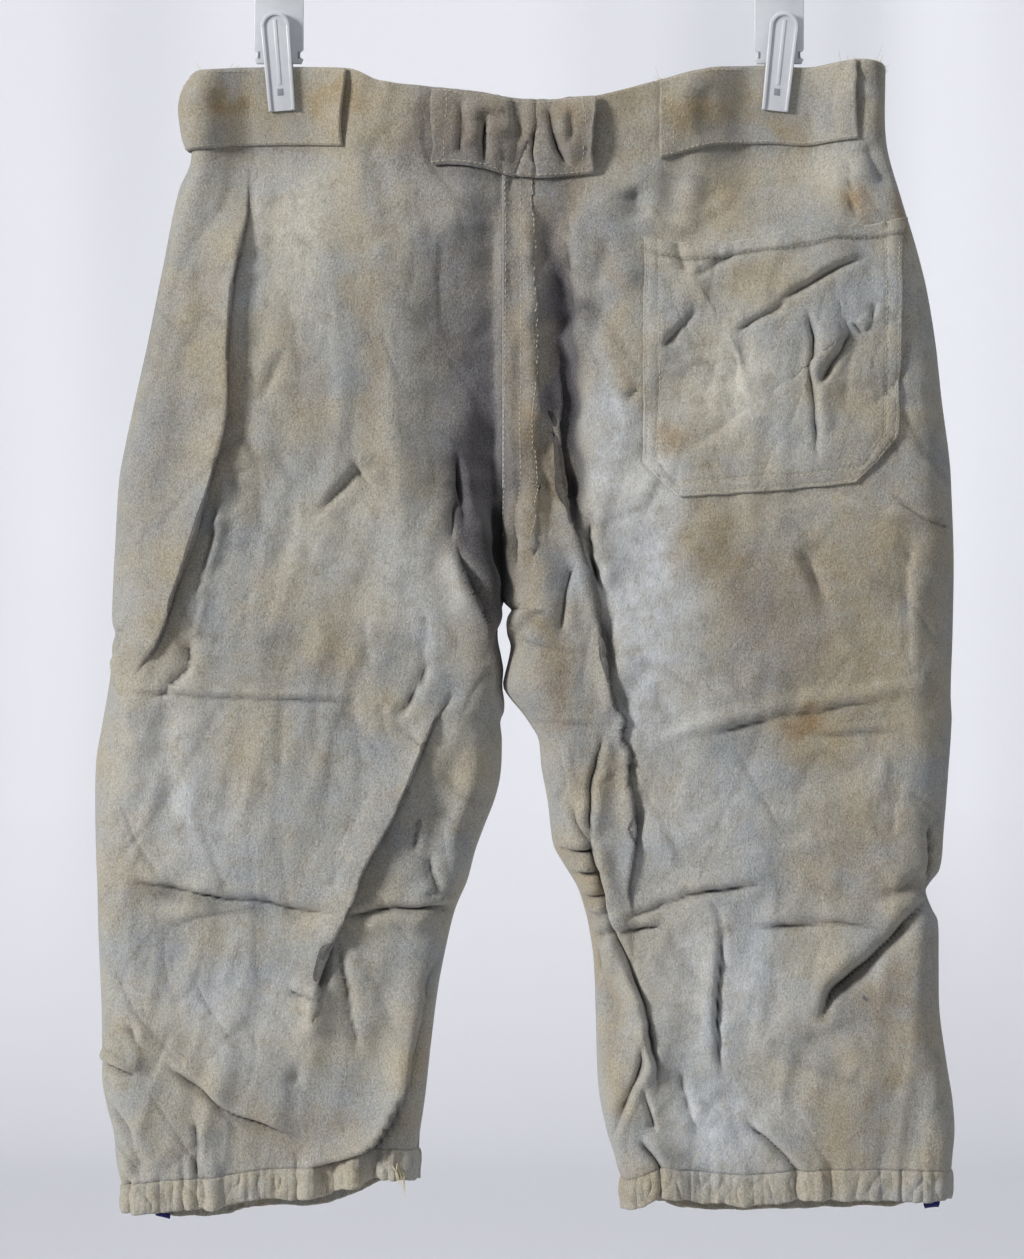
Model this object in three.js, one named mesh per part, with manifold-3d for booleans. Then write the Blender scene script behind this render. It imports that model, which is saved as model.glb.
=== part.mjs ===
// Baseball pants of wool flannel, hung by the waist from a hanger with two clips.
// Millimetres. +Z is up and the origin is the inside top of the hanger's hook.
// The garment's back faces -Y, and the wearer's left leg is at -X.
// "drop" is a height below the waist's clipped edge, and "half" is half of a hollow's depth along Y.

import * as THREE from 'three';
import { mergeVertices } from 'three/addons/utils/BufferGeometryUtils.js';
import Module from 'manifold-3d';

const wasm = await Module();
wasm.setup();

// Heights and cloth
const WAIST_Z = -175;
const WALL = 2;
const SEAM_GAP = 0.3;
const CROTCH_DROP = 348;
const SEAM_X = -17;
const FELL_WIDTH = 20;
const FELL_RAISE = 0.9;
const ROLL_RATIO = 1.3;
const SEAT_ROLL = 42;
const FRONT_HANG = 4.5;
const LEDGE_EDGE = 3;
const FOLD_STEPS = 12;
const FOLD_END = 0.2;
const FOLD_FADE = { outer: 30, inner: 14 };
const FELL_FADE = 40;
const HANG_FADE = 40;
const CROTCH_BLEND = 20;
const SEAT_BLEND = 3;
const ARCH_POWER = 0.7;
const ROUND_SEGMENTS = 20;

// Clips
const CLIP_X = 162.5;
const CLIP_FLAT = { across: 17, down: 54 };
const CLIP_FADE = { across: 60, down: 112 };
const PINCHED_HALF = WALL / 2 + 0.2;
const JAW = { width: 19, top: 36, bottom: 29, plate: 1.8, rim: 2.4, rimRise: 1.5, boss: 9 };
const CLIPS = [
  { name: 'clip_left', x: -CLIP_X, lean: -4.5 },
  { name: 'clip_right', x: CLIP_X, lean: 6.2 },
];

// Hanger
const WIRE = 2;
const HOOK_INSIDE = 22;
const HOOK_TURN = { from: -70, to: 180, steps: 18, rise: 10 };
const BAR = { length: 392, height: 12, depth: 6, centreZ: -112, corner: 2 };
const COLLAR = { radius: 6, topRadius: 4.8, height: 15 };
const YOKE = { width: 32, wall: 2.4, tail: 3, bottomDrop: -2.5 };

// Trimmings
const TUNNEL = { height: 50, inset: 1, puff: 6.5, backPuff: 9.5 };
const TUNNEL_ENDS = {
  left: { back: -119, front: -100 },
  back: { from: -62, to: 44 },
  right: { from: 84, to: 214 },
  front: { from: 100, to: 214 },
};
const POCKET = {
  puff: 8.5,
  leastPuff: 0.3,
  bandRaise: 0.9,
  ease: 0.45,
  firstColumn: 4,
  middleColumn: 8,
  lastColumn: 11,
  middleX: 150,
};
const CASING = { height: 20, gathers: 55, rise: 1.3, topShare: 0.55, gap: 0.45 };
const BRAID = { width: 8, column: 3.15, wall: 1.4, firstRow: 3, ease: 0.7 };
const PLACKET = { width: 38, fromDrop: 3, toDrop: 215, wall: 1.6, ease: 0.45 };
const BUTTON = { radius: 8.5, rim: 1.6, wall: 2.6, dish: 1.56, drop: 22 };

// Each leg's outline and hollow, a row for each section.
// "seam" is how far the centre seam lies from the middle plane.
const LEFT_SECTIONS = [
  { drop: 0, outer: -214, inner: -17, half: 15, seam: 15 },
  { drop: 20, outer: -221, inner: -17, half: 15, seam: 15 },
  { drop: 62, outer: -222, inner: -17, half: 15, seam: 15 },
  { drop: 82, outer: -228, inner: -17, half: 17, seam: 17 },
  { drop: 135, outer: -238, inner: -17, half: 24, seam: 21 },
  { drop: 215, outer: -255, inner: -17, half: 29, seam: 19 },
  { drop: 267, outer: -265, inner: -17, half: 31, seam: 14 },
  { drop: 316, outer: -269, inner: -17, half: 31, seam: 8 },
  { drop: 347, outer: -270, inner: -17, half: 31, seam: 3 },
  { drop: 356, outer: -270, inner: -20, half: 31, seam: 2 },
  { drop: 378, outer: -269, inner: -20, half: 31, seam: 0 },
  { drop: 402, outer: -272, inner: -18.8, half: 31, seam: 0 },
  { drop: 424, outer: -276, inner: -18.4, half: 30, seam: 0 },
  { drop: 450, outer: -280, inner: -19, half: 30, seam: 0 },
  { drop: 473, outer: -280, inner: -28, half: 30, seam: 0 },
  { drop: 497, outer: -280, inner: -39, half: 29, seam: 0 },
  { drop: 545, outer: -279, inner: -48, half: 28, seam: 0 },
  { drop: 595, outer: -277, inner: -64, half: 27, seam: 0 },
  { drop: 632, outer: -276, inner: -66, half: 26, seam: 0 },
  { drop: 677, outer: -273, inner: -74, half: 23, seam: 0 },
  { drop: 704, outer: -267, inner: -77, half: 20, seam: 0 },
  { drop: 745, outer: -262, inner: -79, half: 18, seam: 0 },
];
const RIGHT_SECTIONS = [
  { drop: 0, outer: 231, inner: -17, half: 15, seam: 15 },
  { drop: 20, outer: 234, inner: -17, half: 15, seam: 15 },
  { drop: 48, outer: 231, inner: -17, half: 15, seam: 15 },
  { drop: 86, outer: 241, inner: -17, half: 17, seam: 17 },
  { drop: 144, outer: 257, inner: -17, half: 24, seam: 20 },
  { drop: 216, outer: 267, inner: -17, half: 29, seam: 19 },
  { drop: 281, outer: 274, inner: -17, half: 31, seam: 13 },
  { drop: 320, outer: 275, inner: -17, half: 31, seam: 8 },
  { drop: 347, outer: 275, inner: -17, half: 31, seam: 3 },
  { drop: 356, outer: 275, inner: -13, half: 31, seam: 2 },
  { drop: 378, outer: 274, inner: -11, half: 31, seam: 0 },
  { drop: 402, outer: 273, inner: -14.4, half: 31, seam: 0 },
  { drop: 422, outer: 273, inner: -1, half: 30, seam: 0 },
  { drop: 440, outer: 272, inner: 8, half: 30, seam: 0 },
  { drop: 484, outer: 269, inner: 15, half: 29, seam: 0 },
  { drop: 514, outer: 267, inner: 18, half: 28, seam: 0 },
  { drop: 533, outer: 259, inner: 30, half: 28, seam: 0 },
  { drop: 557, outer: 264, inner: 40, half: 27, seam: 0 },
  { drop: 613, outer: 266, inner: 44, half: 26, seam: 0 },
  { drop: 660, outer: 272, inner: 46, half: 24, seam: 0 },
  { drop: 704, outer: 275, inner: 55, half: 20, seam: 0 },
  { drop: 740, outer: 272, inner: 67, half: 18, seam: 0 },
];

// The waist's upper edge and each leg's lower edge, left to right
const WAIST_LINE = [
  { x: -214, drop: 2.5 },
  { x: -181, drop: 0 },
  { x: -119, drop: 1 },
  { x: -97, drop: 9 },
  { x: -62, drop: 15 },
  { x: 8, drop: 22 },
  { x: 44, drop: 20 },
  { x: 84, drop: 10 },
  { x: 123, drop: 1 },
  { x: 160, drop: -1 },
  { x: 231, drop: 0 },
];
const LEFT_HEM = [
  { x: -262, drop: 745 },
  { x: -205, drop: 738 },
  { x: -134, drop: 731 },
  { x: -107, drop: 722 },
  { x: -79, drop: 722 },
];
const RIGHT_HEM = [
  { x: 67, drop: 740 },
  { x: 88, drop: 731 },
  { x: 141, drop: 736 },
  { x: 207, drop: 733 },
  { x: 272, drop: 736 },
];

// Folds, a row for each: a trough presses the wall in, a ridge lifts it,
// and a ledge lifts the wall on one side of a crisp edge. "bow" bends the fold towards +X.
const BACK_LEFT_FOLDS = [
  {
    kind: 'ledge', fromX: -183, fromDrop: 50, toX: -250, toDrop: 388, bow: 19, reach: 34, depth: 10,
    side: -1,
  },
  { kind: 'trough', fromX: -199, fromDrop: 276, toX: -236, toDrop: 409, bow: 8, reach: 8, depth: 4 },
  { kind: 'trough', fromX: -62, fromDrop: 80, toX: -44, toDrop: 270, bow: 0, reach: 34, depth: 11 },
  { kind: 'trough', fromX: -118, fromDrop: 60, toX: -78, toDrop: 125, bow: 0, reach: 11, depth: 3 },
  { kind: 'trough', fromX: -47, fromDrop: 248, toX: -30, toDrop: 390, bow: -6, reach: 8, depth: 5 },
  {
    kind: 'ledge', fromX: -53, fromDrop: 415, toX: -136, toDrop: 582, bow: -4, reach: 46, depth: 10,
    side: -1,
  },
  { kind: 'trough', fromX: -259, fromDrop: 528, toX: -125, toDrop: 547, bow: 0, reach: 9, depth: 5 },
  { kind: 'trough', fromX: -116, fromDrop: 545, toX: -50, toDrop: 545, bow: 0, reach: 9, depth: 4 },
  { kind: 'ridge', fromX: -268, fromDrop: 404, toX: -102, toDrop: 411, bow: 0, reach: 8, depth: 2.5 },
  { kind: 'trough', fromX: -129, fromDrop: 561, toX: -134, toDrop: 600, bow: 0, reach: 9, depth: 6 },
  { kind: 'ridge', fromX: -129, fromDrop: 581, toX: -151, toDrop: 662, bow: 0, reach: 15, depth: 5 },
  {
    kind: 'ledge', fromX: -56, fromDrop: 564, toX: -143, toDrop: 712, bow: 22, reach: 32, depth: 8,
    side: -1,
  },
  { kind: 'trough', fromX: -230, fromDrop: 645, toX: -150, toDrop: 692, bow: 0, reach: 10, depth: 4 },
  { kind: 'trough', fromX: -268, fromDrop: 645, toX: -248, toDrop: 715, bow: 0, reach: 9, depth: 4 },
  { kind: 'trough', fromX: -70, fromDrop: 482, toX: -77, toDrop: 530, bow: 0, reach: 8, depth: 4 },
];
const BACK_RIGHT_FOLDS = [
  { kind: 'trough', fromX: 8, fromDrop: 103, toX: 34, toDrop: 330, bow: -4, reach: 9, depth: 12 },
  { kind: 'trough', fromX: 32, fromDrop: 340, toX: 64, toDrop: 541, bow: 13, reach: 9, depth: 12 },
  { kind: 'trough', fromX: 48, fromDrop: 432, toX: 60, toDrop: 565, bow: -12, reach: 8, depth: 4 },
  { kind: 'trough', fromX: 60, fromDrop: 560, toX: 84, toDrop: 664, bow: 3, reach: 8, depth: 5 },
  { kind: 'trough', fromX: 76, fromDrop: 655, toX: 58, toDrop: 704, bow: 0, reach: 8, depth: 5 },
  { kind: 'trough', fromX: 68, fromDrop: 446, toX: 268, toDrop: 407, bow: -8, reach: 9, depth: 4 },
  { kind: 'trough', fromX: 173, fromDrop: 307, toX: 194, toDrop: 359, bow: 0, reach: 8, depth: 3 },
  { kind: 'trough', fromX: 55, fromDrop: 560, toX: 131, toDrop: 530, bow: 0, reach: 9, depth: 4 },
  { kind: 'trough', fromX: 153, fromDrop: 553, toX: 235, toDrop: 556, bow: 0, reach: 9, depth: 4 },
  { kind: 'ridge', fromX: 115, fromDrop: 541, toX: 123, toDrop: 648, bow: 3, reach: 12, depth: 4 },
  { kind: 'trough', fromX: 255, fromDrop: 537, toX: 186, toDrop: 621, bow: 4, reach: 10, depth: 9 },
  { kind: 'trough', fromX: 49, fromDrop: 107, toX: 36, toDrop: 150, bow: 0, reach: 8, depth: 3 },
  { kind: 'trough', fromX: 206, fromDrop: 72, toX: 210, toDrop: 98, bow: 0, reach: 7, depth: 3 },
  { kind: 'ridge', fromX: 99, fromDrop: 133, toX: 140, toDrop: 216, bow: 4, reach: 9, depth: 4 },
  { kind: 'trough', fromX: 131, fromDrop: 175, toX: 225, toDrop: 118, bow: 0, reach: 10, depth: 4 },
  { kind: 'trough', fromX: 175, fromDrop: 160, toX: 187, toDrop: 255, bow: 3, reach: 9, depth: 4 },
];
const FRONT_LEFT_FOLDS = [
  { kind: 'trough', fromX: -60, fromDrop: 90, toX: -40, toDrop: 300, bow: 0, reach: 26, depth: 7 },
  { kind: 'trough', fromX: -40, fromDrop: 330, toX: -120, toDrop: 470, bow: 0, reach: 16, depth: 6 },
  { kind: 'ridge', fromX: -150, fromDrop: 90, toX: -165, toDrop: 380, bow: 6, reach: 30, depth: 5 },
  { kind: 'trough', fromX: -255, fromDrop: 520, toX: -90, toDrop: 545, bow: 0, reach: 14, depth: 5 },
  { kind: 'trough', fromX: -120, fromDrop: 560, toX: -150, toDrop: 690, bow: 0, reach: 16, depth: 5 },
];
const FRONT_RIGHT_FOLDS = [
  { kind: 'trough', fromX: 28, fromDrop: 90, toX: 34, toDrop: 300, bow: 0, reach: 26, depth: 7 },
  { kind: 'trough', fromX: 40, fromDrop: 340, toX: 110, toDrop: 470, bow: 0, reach: 16, depth: 6 },
  { kind: 'ridge', fromX: 160, fromDrop: 90, toX: 170, toDrop: 380, bow: 6, reach: 30, depth: 5 },
  { kind: 'trough', fromX: 70, fromDrop: 530, toX: 240, toDrop: 548, bow: 0, reach: 14, depth: 5 },
  { kind: 'trough', fromX: 120, fromDrop: 570, toX: 100, toDrop: 690, bow: 0, reach: 16, depth: 5 },
];

// Lines that a column of a back panel's points follows, so that a fold keeps its crisp edge
const LEFT_FLAP_LINE = [
  { drop: 50, x: -183 },
  { drop: 140, x: -191 },
  { drop: 230, x: -199 },
  { drop: 296, x: -214 },
  { drop: 340, x: -230 },
  { drop: 388, x: -248 },
  { drop: 470, x: -225 },
  { drop: 745, x: -215 },
];
const RIGHT_TRENCH_LINE = [
  { drop: 60, x: 12 },
  { drop: 103, x: 12 },
  { drop: 230, x: 17 },
  { drop: 330, x: 34 },
  { drop: 400, x: 50 },
  { drop: 446, x: 62 },
  { drop: 541, x: 64 },
  { drop: 664, x: 84 },
  { drop: 745, x: 100 },
];

// Vertical crumples of the belt tunnel on the back
const BACK_TUNNEL_CRUMPLES = [
  { x: -42, reach: 5, depth: 2.2 },
  { x: -27, reach: 5, depth: 4 },
  { x: -9, reach: 5, depth: 2.6 },
  { x: 22, reach: 7, depth: 3.4 },
];

// The hip pocket's outline, from its mouth (share 0) to its lower edge (share 1)
const POCKET_SIDES = [
  { share: 0, left: 73.5, right: 239 },
  { share: 0.5, left: 73.5, right: 238 },
  { share: 0.86, left: 73.5, right: 236 },
  { share: 1, left: 95, right: 209 },
];
const POCKET_MOUTH = [
  { x: 73, drop: 113 },
  { x: 100, drop: 118 },
  { x: 128, drop: 117 },
  { x: 182, drop: 108 },
  { x: 239, drop: 101 },
];
const POCKET_BASE = [
  { x: 73, drop: 281 },
  { x: 149, drop: 277 },
  { x: 239, drop: 269 },
];

const LEGS = {
  left: {
    sign: -1,
    sections: LEFT_SECTIONS,
    hem: LEFT_HEM,
    fell: 0,
    back: BACK_LEFT_FOLDS,
    front: FRONT_LEFT_FOLDS,
  },
  right: {
    sign: 1,
    sections: RIGHT_SECTIONS,
    hem: RIGHT_HEM,
    fell: FELL_WIDTH,
    back: BACK_RIGHT_FOLDS,
    front: FRONT_RIGHT_FOLDS,
  },
};

const MATERIALS = {
  flannel: new THREE.MeshStandardMaterial({ color: 0x9a9282, roughness: 0.95, metalness: 0 }),
  casing: new THREE.MeshStandardMaterial({ color: 0xa89d80, roughness: 0.95, metalness: 0 }),
  braid: new THREE.MeshStandardMaterial({ color: 0x1b2158, roughness: 0.8, metalness: 0 }),
  button: new THREE.MeshStandardMaterial({ color: 0x4a3a2a, roughness: 0.5, metalness: 0 }),
  plastic: new THREE.MeshStandardMaterial({ color: 0xf2f3f5, roughness: 0.3, metalness: 0 }),
  steel: new THREE.MeshStandardMaterial({ color: 0xb9bcc0, roughness: 0.3, metalness: 1 }),
};

// ---- Numbers read from the tables ----

const mix = (a, b, share) => a + (b - a) * share;
const clamp01 = (value) => Math.min(1, Math.max(0, value));

function ease(value) {
  const t = clamp01(value);
  return t * t * (3 - 2 * t);
}

function quarterRound(value) {
  const t = 1 - clamp01(value);
  return Math.sqrt(1 - t * t);
}

function slope(table, key, column, index) {
  const before = table[Math.max(index - 1, 0)];
  const after = table[Math.min(index + 1, table.length - 1)];
  return (after[column] - before[column]) / (after[key] - before[key]);
}

// The value of a column between two rows, on a smooth curve through the rows
function reading(table, key, column, at) {
  const last = table.length - 1;
  if (at <= table[0][key]) return table[0][column];
  if (at >= table[last][key]) return table[last][column];
  let row = 0;
  while (at > table[row + 1][key]) row += 1;
  const span = table[row + 1][key] - table[row][key];
  const t = (at - table[row][key]) / span;
  const start = table[row][column];
  const end = table[row + 1][column];
  const startSlope = slope(table, key, column, row) * span;
  const endSlope = slope(table, key, column, row + 1) * span;
  const rest = 1 - t;
  const ends = start * (1 + 2 * t) * rest * rest + end * (3 - 2 * t) * t * t;
  return ends + startSlope * t * rest * rest - endSlope * t * t * rest;
}

// ---- The cloth's shape ----

// 1 where the clips press the cloth flat, 0 away from them
function pressed(x, drop) {
  const across = Math.abs(Math.abs(x) - CLIP_X);
  const fadeAcross = 1 - ease((across - CLIP_FLAT.across) / (CLIP_FADE.across - CLIP_FLAT.across));
  const fadeDown = 1 - ease((drop - CLIP_FLAT.down) / (CLIP_FADE.down - CLIP_FLAT.down));
  return fadeAcross * fadeDown;
}

// How far a fold moves the wall inwards at one place
function foldDepth(fold, x, drop) {
  const alongX = fold.toX - fold.fromX;
  const alongDrop = fold.toDrop - fold.fromDrop;
  const length = Math.hypot(alongX, alongDrop);
  const upright = Math.abs(alongDrop) > Math.abs(alongX);
  let nearest = Infinity;
  let place = 0;
  let beside = 0;
  for (let step = 0; step <= FOLD_STEPS; step += 1) {
    const t = step / FOLD_STEPS;
    const bend = 4 * fold.bow * t * (1 - t);
    const lineX = fold.fromX + alongX * t + (upright ? bend : 0);
    const lineDrop = fold.fromDrop + alongDrop * t + (upright ? 0 : bend);
    const way = Math.hypot(x - lineX, drop - lineDrop);
    if (way < nearest) {
      nearest = way;
      place = t;
      beside = ((x - lineX) * alongDrop - (drop - lineDrop) * alongX) / length;
    }
  }
  const past = Math.sqrt(Math.max(0, nearest * nearest - beside * beside));
  const ends = ease(place / FOLD_END) * ease((1 - place) / FOLD_END) * (1 - ease(past / (fold.reach * 2)));
  if (fold.kind !== 'ledge') {
    const profile = Math.exp(-((beside / fold.reach) ** 2));
    return (fold.kind === 'ridge' ? -1 : 1) * fold.depth * profile * ends;
  }
  const raisedWay = beside * fold.side;
  const onSlope = (1 - clamp01(raisedWay / fold.reach)) ** 2;
  const lifted = raisedWay > 0 ? onSlope : 1 - ease(-raisedWay / LEDGE_EDGE);
  return -fold.depth * lifted * ends;
}

function foldsDepth(folds, x, drop) {
  return folds.reduce((sum, fold) => sum + foldDepth(fold, x, drop), 0);
}

// Distance of the wall's middle from the plane y = 0, on the back (side -1) or the front (side 1)
function wallDepth(leg, side, x, drop) {
  const { sections, fell } = leg;
  const half = reading(sections, 'drop', 'half', drop);
  const outerWay = Math.abs(reading(sections, 'drop', 'outer', drop) - x);
  const innerWay = Math.abs(x - reading(sections, 'drop', 'inner', drop));
  const onSeat = drop < CROTCH_DROP + CROTCH_BLEND;
  const seamShare = onSeat ? Math.max(0, reading(sections, 'drop', 'seam', drop)) / half : 0;
  const fellWidth = side < 0 ? fell * ease((CROTCH_DROP - drop) / FELL_FADE) : 0;
  const innerRoll = mix(half * ROLL_RATIO, SEAT_ROLL, ease(seamShare * SEAT_BLEND));
  const inner = mix(quarterRound((innerWay - fellWidth) / innerRoll), 1, Math.min(1, seamShare));
  const outer = quarterRound(outerWay / (half * ROLL_RATIO));
  const folds = foldsDepth(side < 0 ? leg.back : leg.front, x, drop);
  const loose = 1 - pressed(x, drop);
  const faded = ease(outerWay / FOLD_FADE.outer) * ease(innerWay / FOLD_FADE.inner) * loose;
  const free = half * outer * inner - folds * faded;
  const flat = PINCHED_HALF * outer;
  return Math.max(mix(flat, free, loose), Math.min(flat, free));
}

function clothPoint(leg, side, x, drop, hang = 0) {
  return new THREE.Vector3(x, side * wallDepth(leg, side, x, drop), WAIST_Z - drop - hang);
}

// ---- Walls made of a grid of points ----

// Normals of a grid of points that face away from the hollow
function gridNormals(points, ring) {
  const rows = points.length;
  const columns = points[0].length;
  const outward = [];
  for (let r = 0; r < rows; r += 1) {
    const line = [];
    for (let c = 0; c < columns; c += 1) {
      const left = ring ? points[r][(c + columns - 1) % columns] : points[r][Math.max(c - 1, 0)];
      const right = ring ? points[r][(c + 1) % columns] : points[r][Math.min(c + 1, columns - 1)];
      const above = points[Math.max(r - 1, 0)][c];
      const below = points[Math.min(r + 1, rows - 1)][c];
      const across = right.clone().sub(left);
      const down = below.clone().sub(above);
      line.push(across.cross(down).normalize());
    }
    outward.push(line);
  }
  return outward;
}

function signedVolume(positions, triangles) {
  const [a, b, c] = [new THREE.Vector3(), new THREE.Vector3(), new THREE.Vector3()];
  let volume = 0;
  for (let i = 0; i < triangles.length; i += 3) {
    a.fromArray(positions, triangles[i] * 3);
    b.fromArray(positions, triangles[i + 1] * 3);
    c.fromArray(positions, triangles[i + 2] * 3);
    volume += a.dot(b.cross(c));
  }
  return volume;
}

function solidMesh(name, positions, triangles, material) {
  if (signedVolume(positions, triangles) < 0) triangles.reverse();
  const geometry = new THREE.BufferGeometry();
  geometry.setAttribute('position', new THREE.Float32BufferAttribute(positions, 3));
  geometry.setIndex(triangles);
  geometry.computeVertexNormals();
  const mesh = new THREE.Mesh(geometry, material);
  mesh.name = name;
  return mesh;
}

// A closed wall between two grids of points; a ring's last column joins its first
function wallMesh(name, outerFace, innerFace, material, ring = false) {
  const rows = outerFace.length;
  const columns = outerFace[0].length;
  const positions = [];
  const triangles = [];
  for (const face of [outerFace, innerFace]) {
    for (const line of face) {
      for (const point of line) positions.push(point.x, point.y, point.z);
    }
  }
  const index = (face, r, c) => (face * rows + r) * columns + (c % columns);
  const quad = (a, b, c, d) => triangles.push(a, b, c, a, c, d);
  const spans = ring ? columns : columns - 1;
  for (let r = 0; r < rows - 1; r += 1) {
    for (let c = 0; c < spans; c += 1) {
      quad(index(0, r, c), index(0, r + 1, c), index(0, r + 1, c + 1), index(0, r, c + 1));
      quad(index(1, r, c), index(1, r, c + 1), index(1, r + 1, c + 1), index(1, r + 1, c));
    }
  }
  for (let c = 0; c < spans; c += 1) {
    quad(index(0, 0, c), index(0, 0, c + 1), index(1, 0, c + 1), index(1, 0, c));
    const last = rows - 1;
    quad(index(0, last, c), index(1, last, c), index(1, last, c + 1), index(0, last, c + 1));
  }
  if (!ring) {
    for (let r = 0; r < rows - 1; r += 1) {
      const last = columns - 1;
      quad(index(0, r, 0), index(1, r, 0), index(1, r + 1, 0), index(0, r + 1, 0));
      quad(index(0, r, last), index(0, r + 1, last), index(1, r + 1, last), index(1, r, last));
    }
  }
  return solidMesh(name, positions, triangles, material);
}

function shifted(points, normals, amount) {
  return points.map((line, r) => line.map((point, c) => {
    const by = typeof amount === 'function' ? amount(point, r, c) : amount;
    return point.clone().addScaledVector(normals[r][c], by);
  }));
}

// Values kept at least one spacing apart, from a first value to a last one
function spacedOut(values, first, last, spacing) {
  const direction = Math.sign(last - first);
  const ways = values.map((value) => (value - first) * direction);
  const whole = (last - first) * direction;
  const least = Math.min(spacing, whole / (ways.length + 1));
  for (let i = 1; i < ways.length; i += 1) ways[i] = Math.max(ways[i], ways[i - 1] + least);
  for (let i = ways.length - 2; i >= 0; i -= 1) {
    const limit = i === ways.length - 2 ? whole : ways[i + 2] - least;
    ways[i + 1] = Math.min(ways[i + 1], limit);
    ways[i] = Math.min(ways[i], ways[i + 1] - least);
  }
  return ways.map((way) => first + way * direction);
}

// ---- Leg panels ----

const OUTER_STEPS = [0, 1.5, 5, 11];
const INNER_STEPS = [21.5, 20, 10, 4, 1.2, 0];
const LEAST_COLUMN = 1.2;

function casingTop(leg, x) {
  return reading(leg.hem, 'x', 'drop', x) - CASING.height;
}

function rowDrop(leg, x, share) {
  return mix(reading(WAIST_LINE, 'x', 'drop', x), casingTop(leg, x), share);
}

// An edge's X where a row of the grid meets it
function edgeX(leg, column, share) {
  let x = leg.sections[0][column];
  for (let pass = 0; pass < 5; pass += 1) {
    x = reading(leg.sections, 'drop', column, rowDrop(leg, x, share));
  }
  return x;
}

// The X places of one row of a panel. "stops" are lines that a column follows down the leg,
// each with the number of columns between it and the stop before it, and how far beside
// its line it lies.
function rowColumns(leg, share, { stops, inside }) {
  const outer = edgeX(leg, 'outer', share);
  const seamEdge = edgeX(leg, 'inner', share);
  const onSeam = rowDrop(leg, seamEdge, share) < CROTCH_DROP;
  const inner = onSeam ? SEAM_X + (leg.sign * SEAM_GAP) / 2 : seamEdge;
  const inwards = -leg.sign;
  const drop = rowDrop(leg, outer, share);
  const last = inner - inwards * INNER_STEPS[0];
  const columns = OUTER_STEPS.map((step) => outer + inwards * step);
  const reach = (to, between) => {
    const from = columns[columns.length - 1];
    for (let i = 1; i <= between; i += 1) columns.push(mix(from, to, i / (between + 1)));
  };
  for (const { line, between, beside = 0 } of stops) {
    const x = reading(line, 'drop', 'x', drop) + beside;
    reach(x, between);
    columns.push(x);
  }
  reach(last, inside);
  INNER_STEPS.forEach((step) => columns.push(inner - inwards * step));
  return { columns: spacedOut(columns, outer, inner, LEAST_COLUMN), onSeam };
}

function frontHang(leg, x, drop, share) {
  const outerWay = Math.abs(reading(leg.sections, 'drop', 'outer', drop) - x);
  const innerWay = Math.abs(x - reading(leg.sections, 'drop', 'inner', drop));
  return FRONT_HANG * share * ease(Math.min(outerWay, innerWay) / HANG_FADE);
}

function panelGrid(leg, side, rows, layout) {
  const points = [];
  const seamRows = [];
  for (let r = 0; r < rows; r += 1) {
    const share = r / (rows - 1);
    const { columns, onSeam } = rowColumns(leg, share, layout);
    seamRows.push(onSeam);
    points.push(columns.map((x) => {
      const drop = rowDrop(leg, x, share);
      const hang = side > 0 ? frontHang(leg, x, drop, share) : 0;
      return clothPoint(leg, side, x, drop, hang);
    }));
  }
  const last = points[0].length - 1;
  points.forEach((line, r) => {
    line[0].y = (side * SEAM_GAP) / 2;
    if (!seamRows[r]) line[last].y = (side * SEAM_GAP) / 2;
    if (seamRows[r]) line[last].y = side * Math.max(Math.abs(line[last].y), WALL / 2 + SEAM_GAP);
  });
  const normals = gridNormals(points, false);
  const facing = -leg.sign * side;
  normals.forEach((line, r) => {
    line.forEach((normal) => normal.multiplyScalar(facing));
    line[0].set(leg.sign, 0, 0);
    if (seamRows[r]) line[last].set(0, side, 0);
    else line[last].set(-leg.sign, 0, 0);
  });
  normals[rows - 1].forEach((normal) => normal.setZ(0).normalize());
  return { points, normals };
}

function panel(name, leg, side, grid) {
  const { points, normals } = grid;
  const raise = (point) => {
    const onFell = side < 0 && leg.fell > 0 && point.x - SEAM_X < leg.fell + SEAM_GAP;
    const drop = WAIST_Z - point.z;
    return WALL / 2 + (onFell ? FELL_RAISE * ease((CROTCH_DROP - drop) / FELL_FADE) : 0);
  };
  const outerFace = shifted(points, normals, raise);
  const innerFace = shifted(points, normals, -WALL / 2);
  return wallMesh(name, outerFace, innerFace, MATERIALS.flannel);
}

// ---- Pieces that lie on the panels ----

// A place on a panel's grid, at fractional row and column numbers
function gridPlace({ points, normals }, row, column) {
  const r = Math.min(Math.floor(row), points.length - 2);
  const c = Math.min(Math.floor(column), points[0].length - 2);
  const blend = (table) => {
    const upper = table[r][c].clone().lerp(table[r][c + 1], column - c);
    const lower = table[r + 1][c].clone().lerp(table[r + 1][c + 1], column - c);
    return upper.lerp(lower, row - r);
  };
  return { point: blend(points), normal: blend(normals).normalize() };
}

// The fractional column number where a row of a panel's grid reaches an X
function columnAt(grid, row, x) {
  let column = 0;
  const last = grid.points[0].length - 1;
  const xAt = (c) => gridPlace(grid, row, c).point.x;
  const inwards = Math.sign(xAt(last) - xAt(0));
  while (column < last - 1 && (xAt(column + 1) - x) * inwards < 0) column += 1;
  const part = (x - xAt(column)) / (xAt(column + 1) - xAt(column));
  return Math.min(last, Math.max(0, column + part));
}

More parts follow.
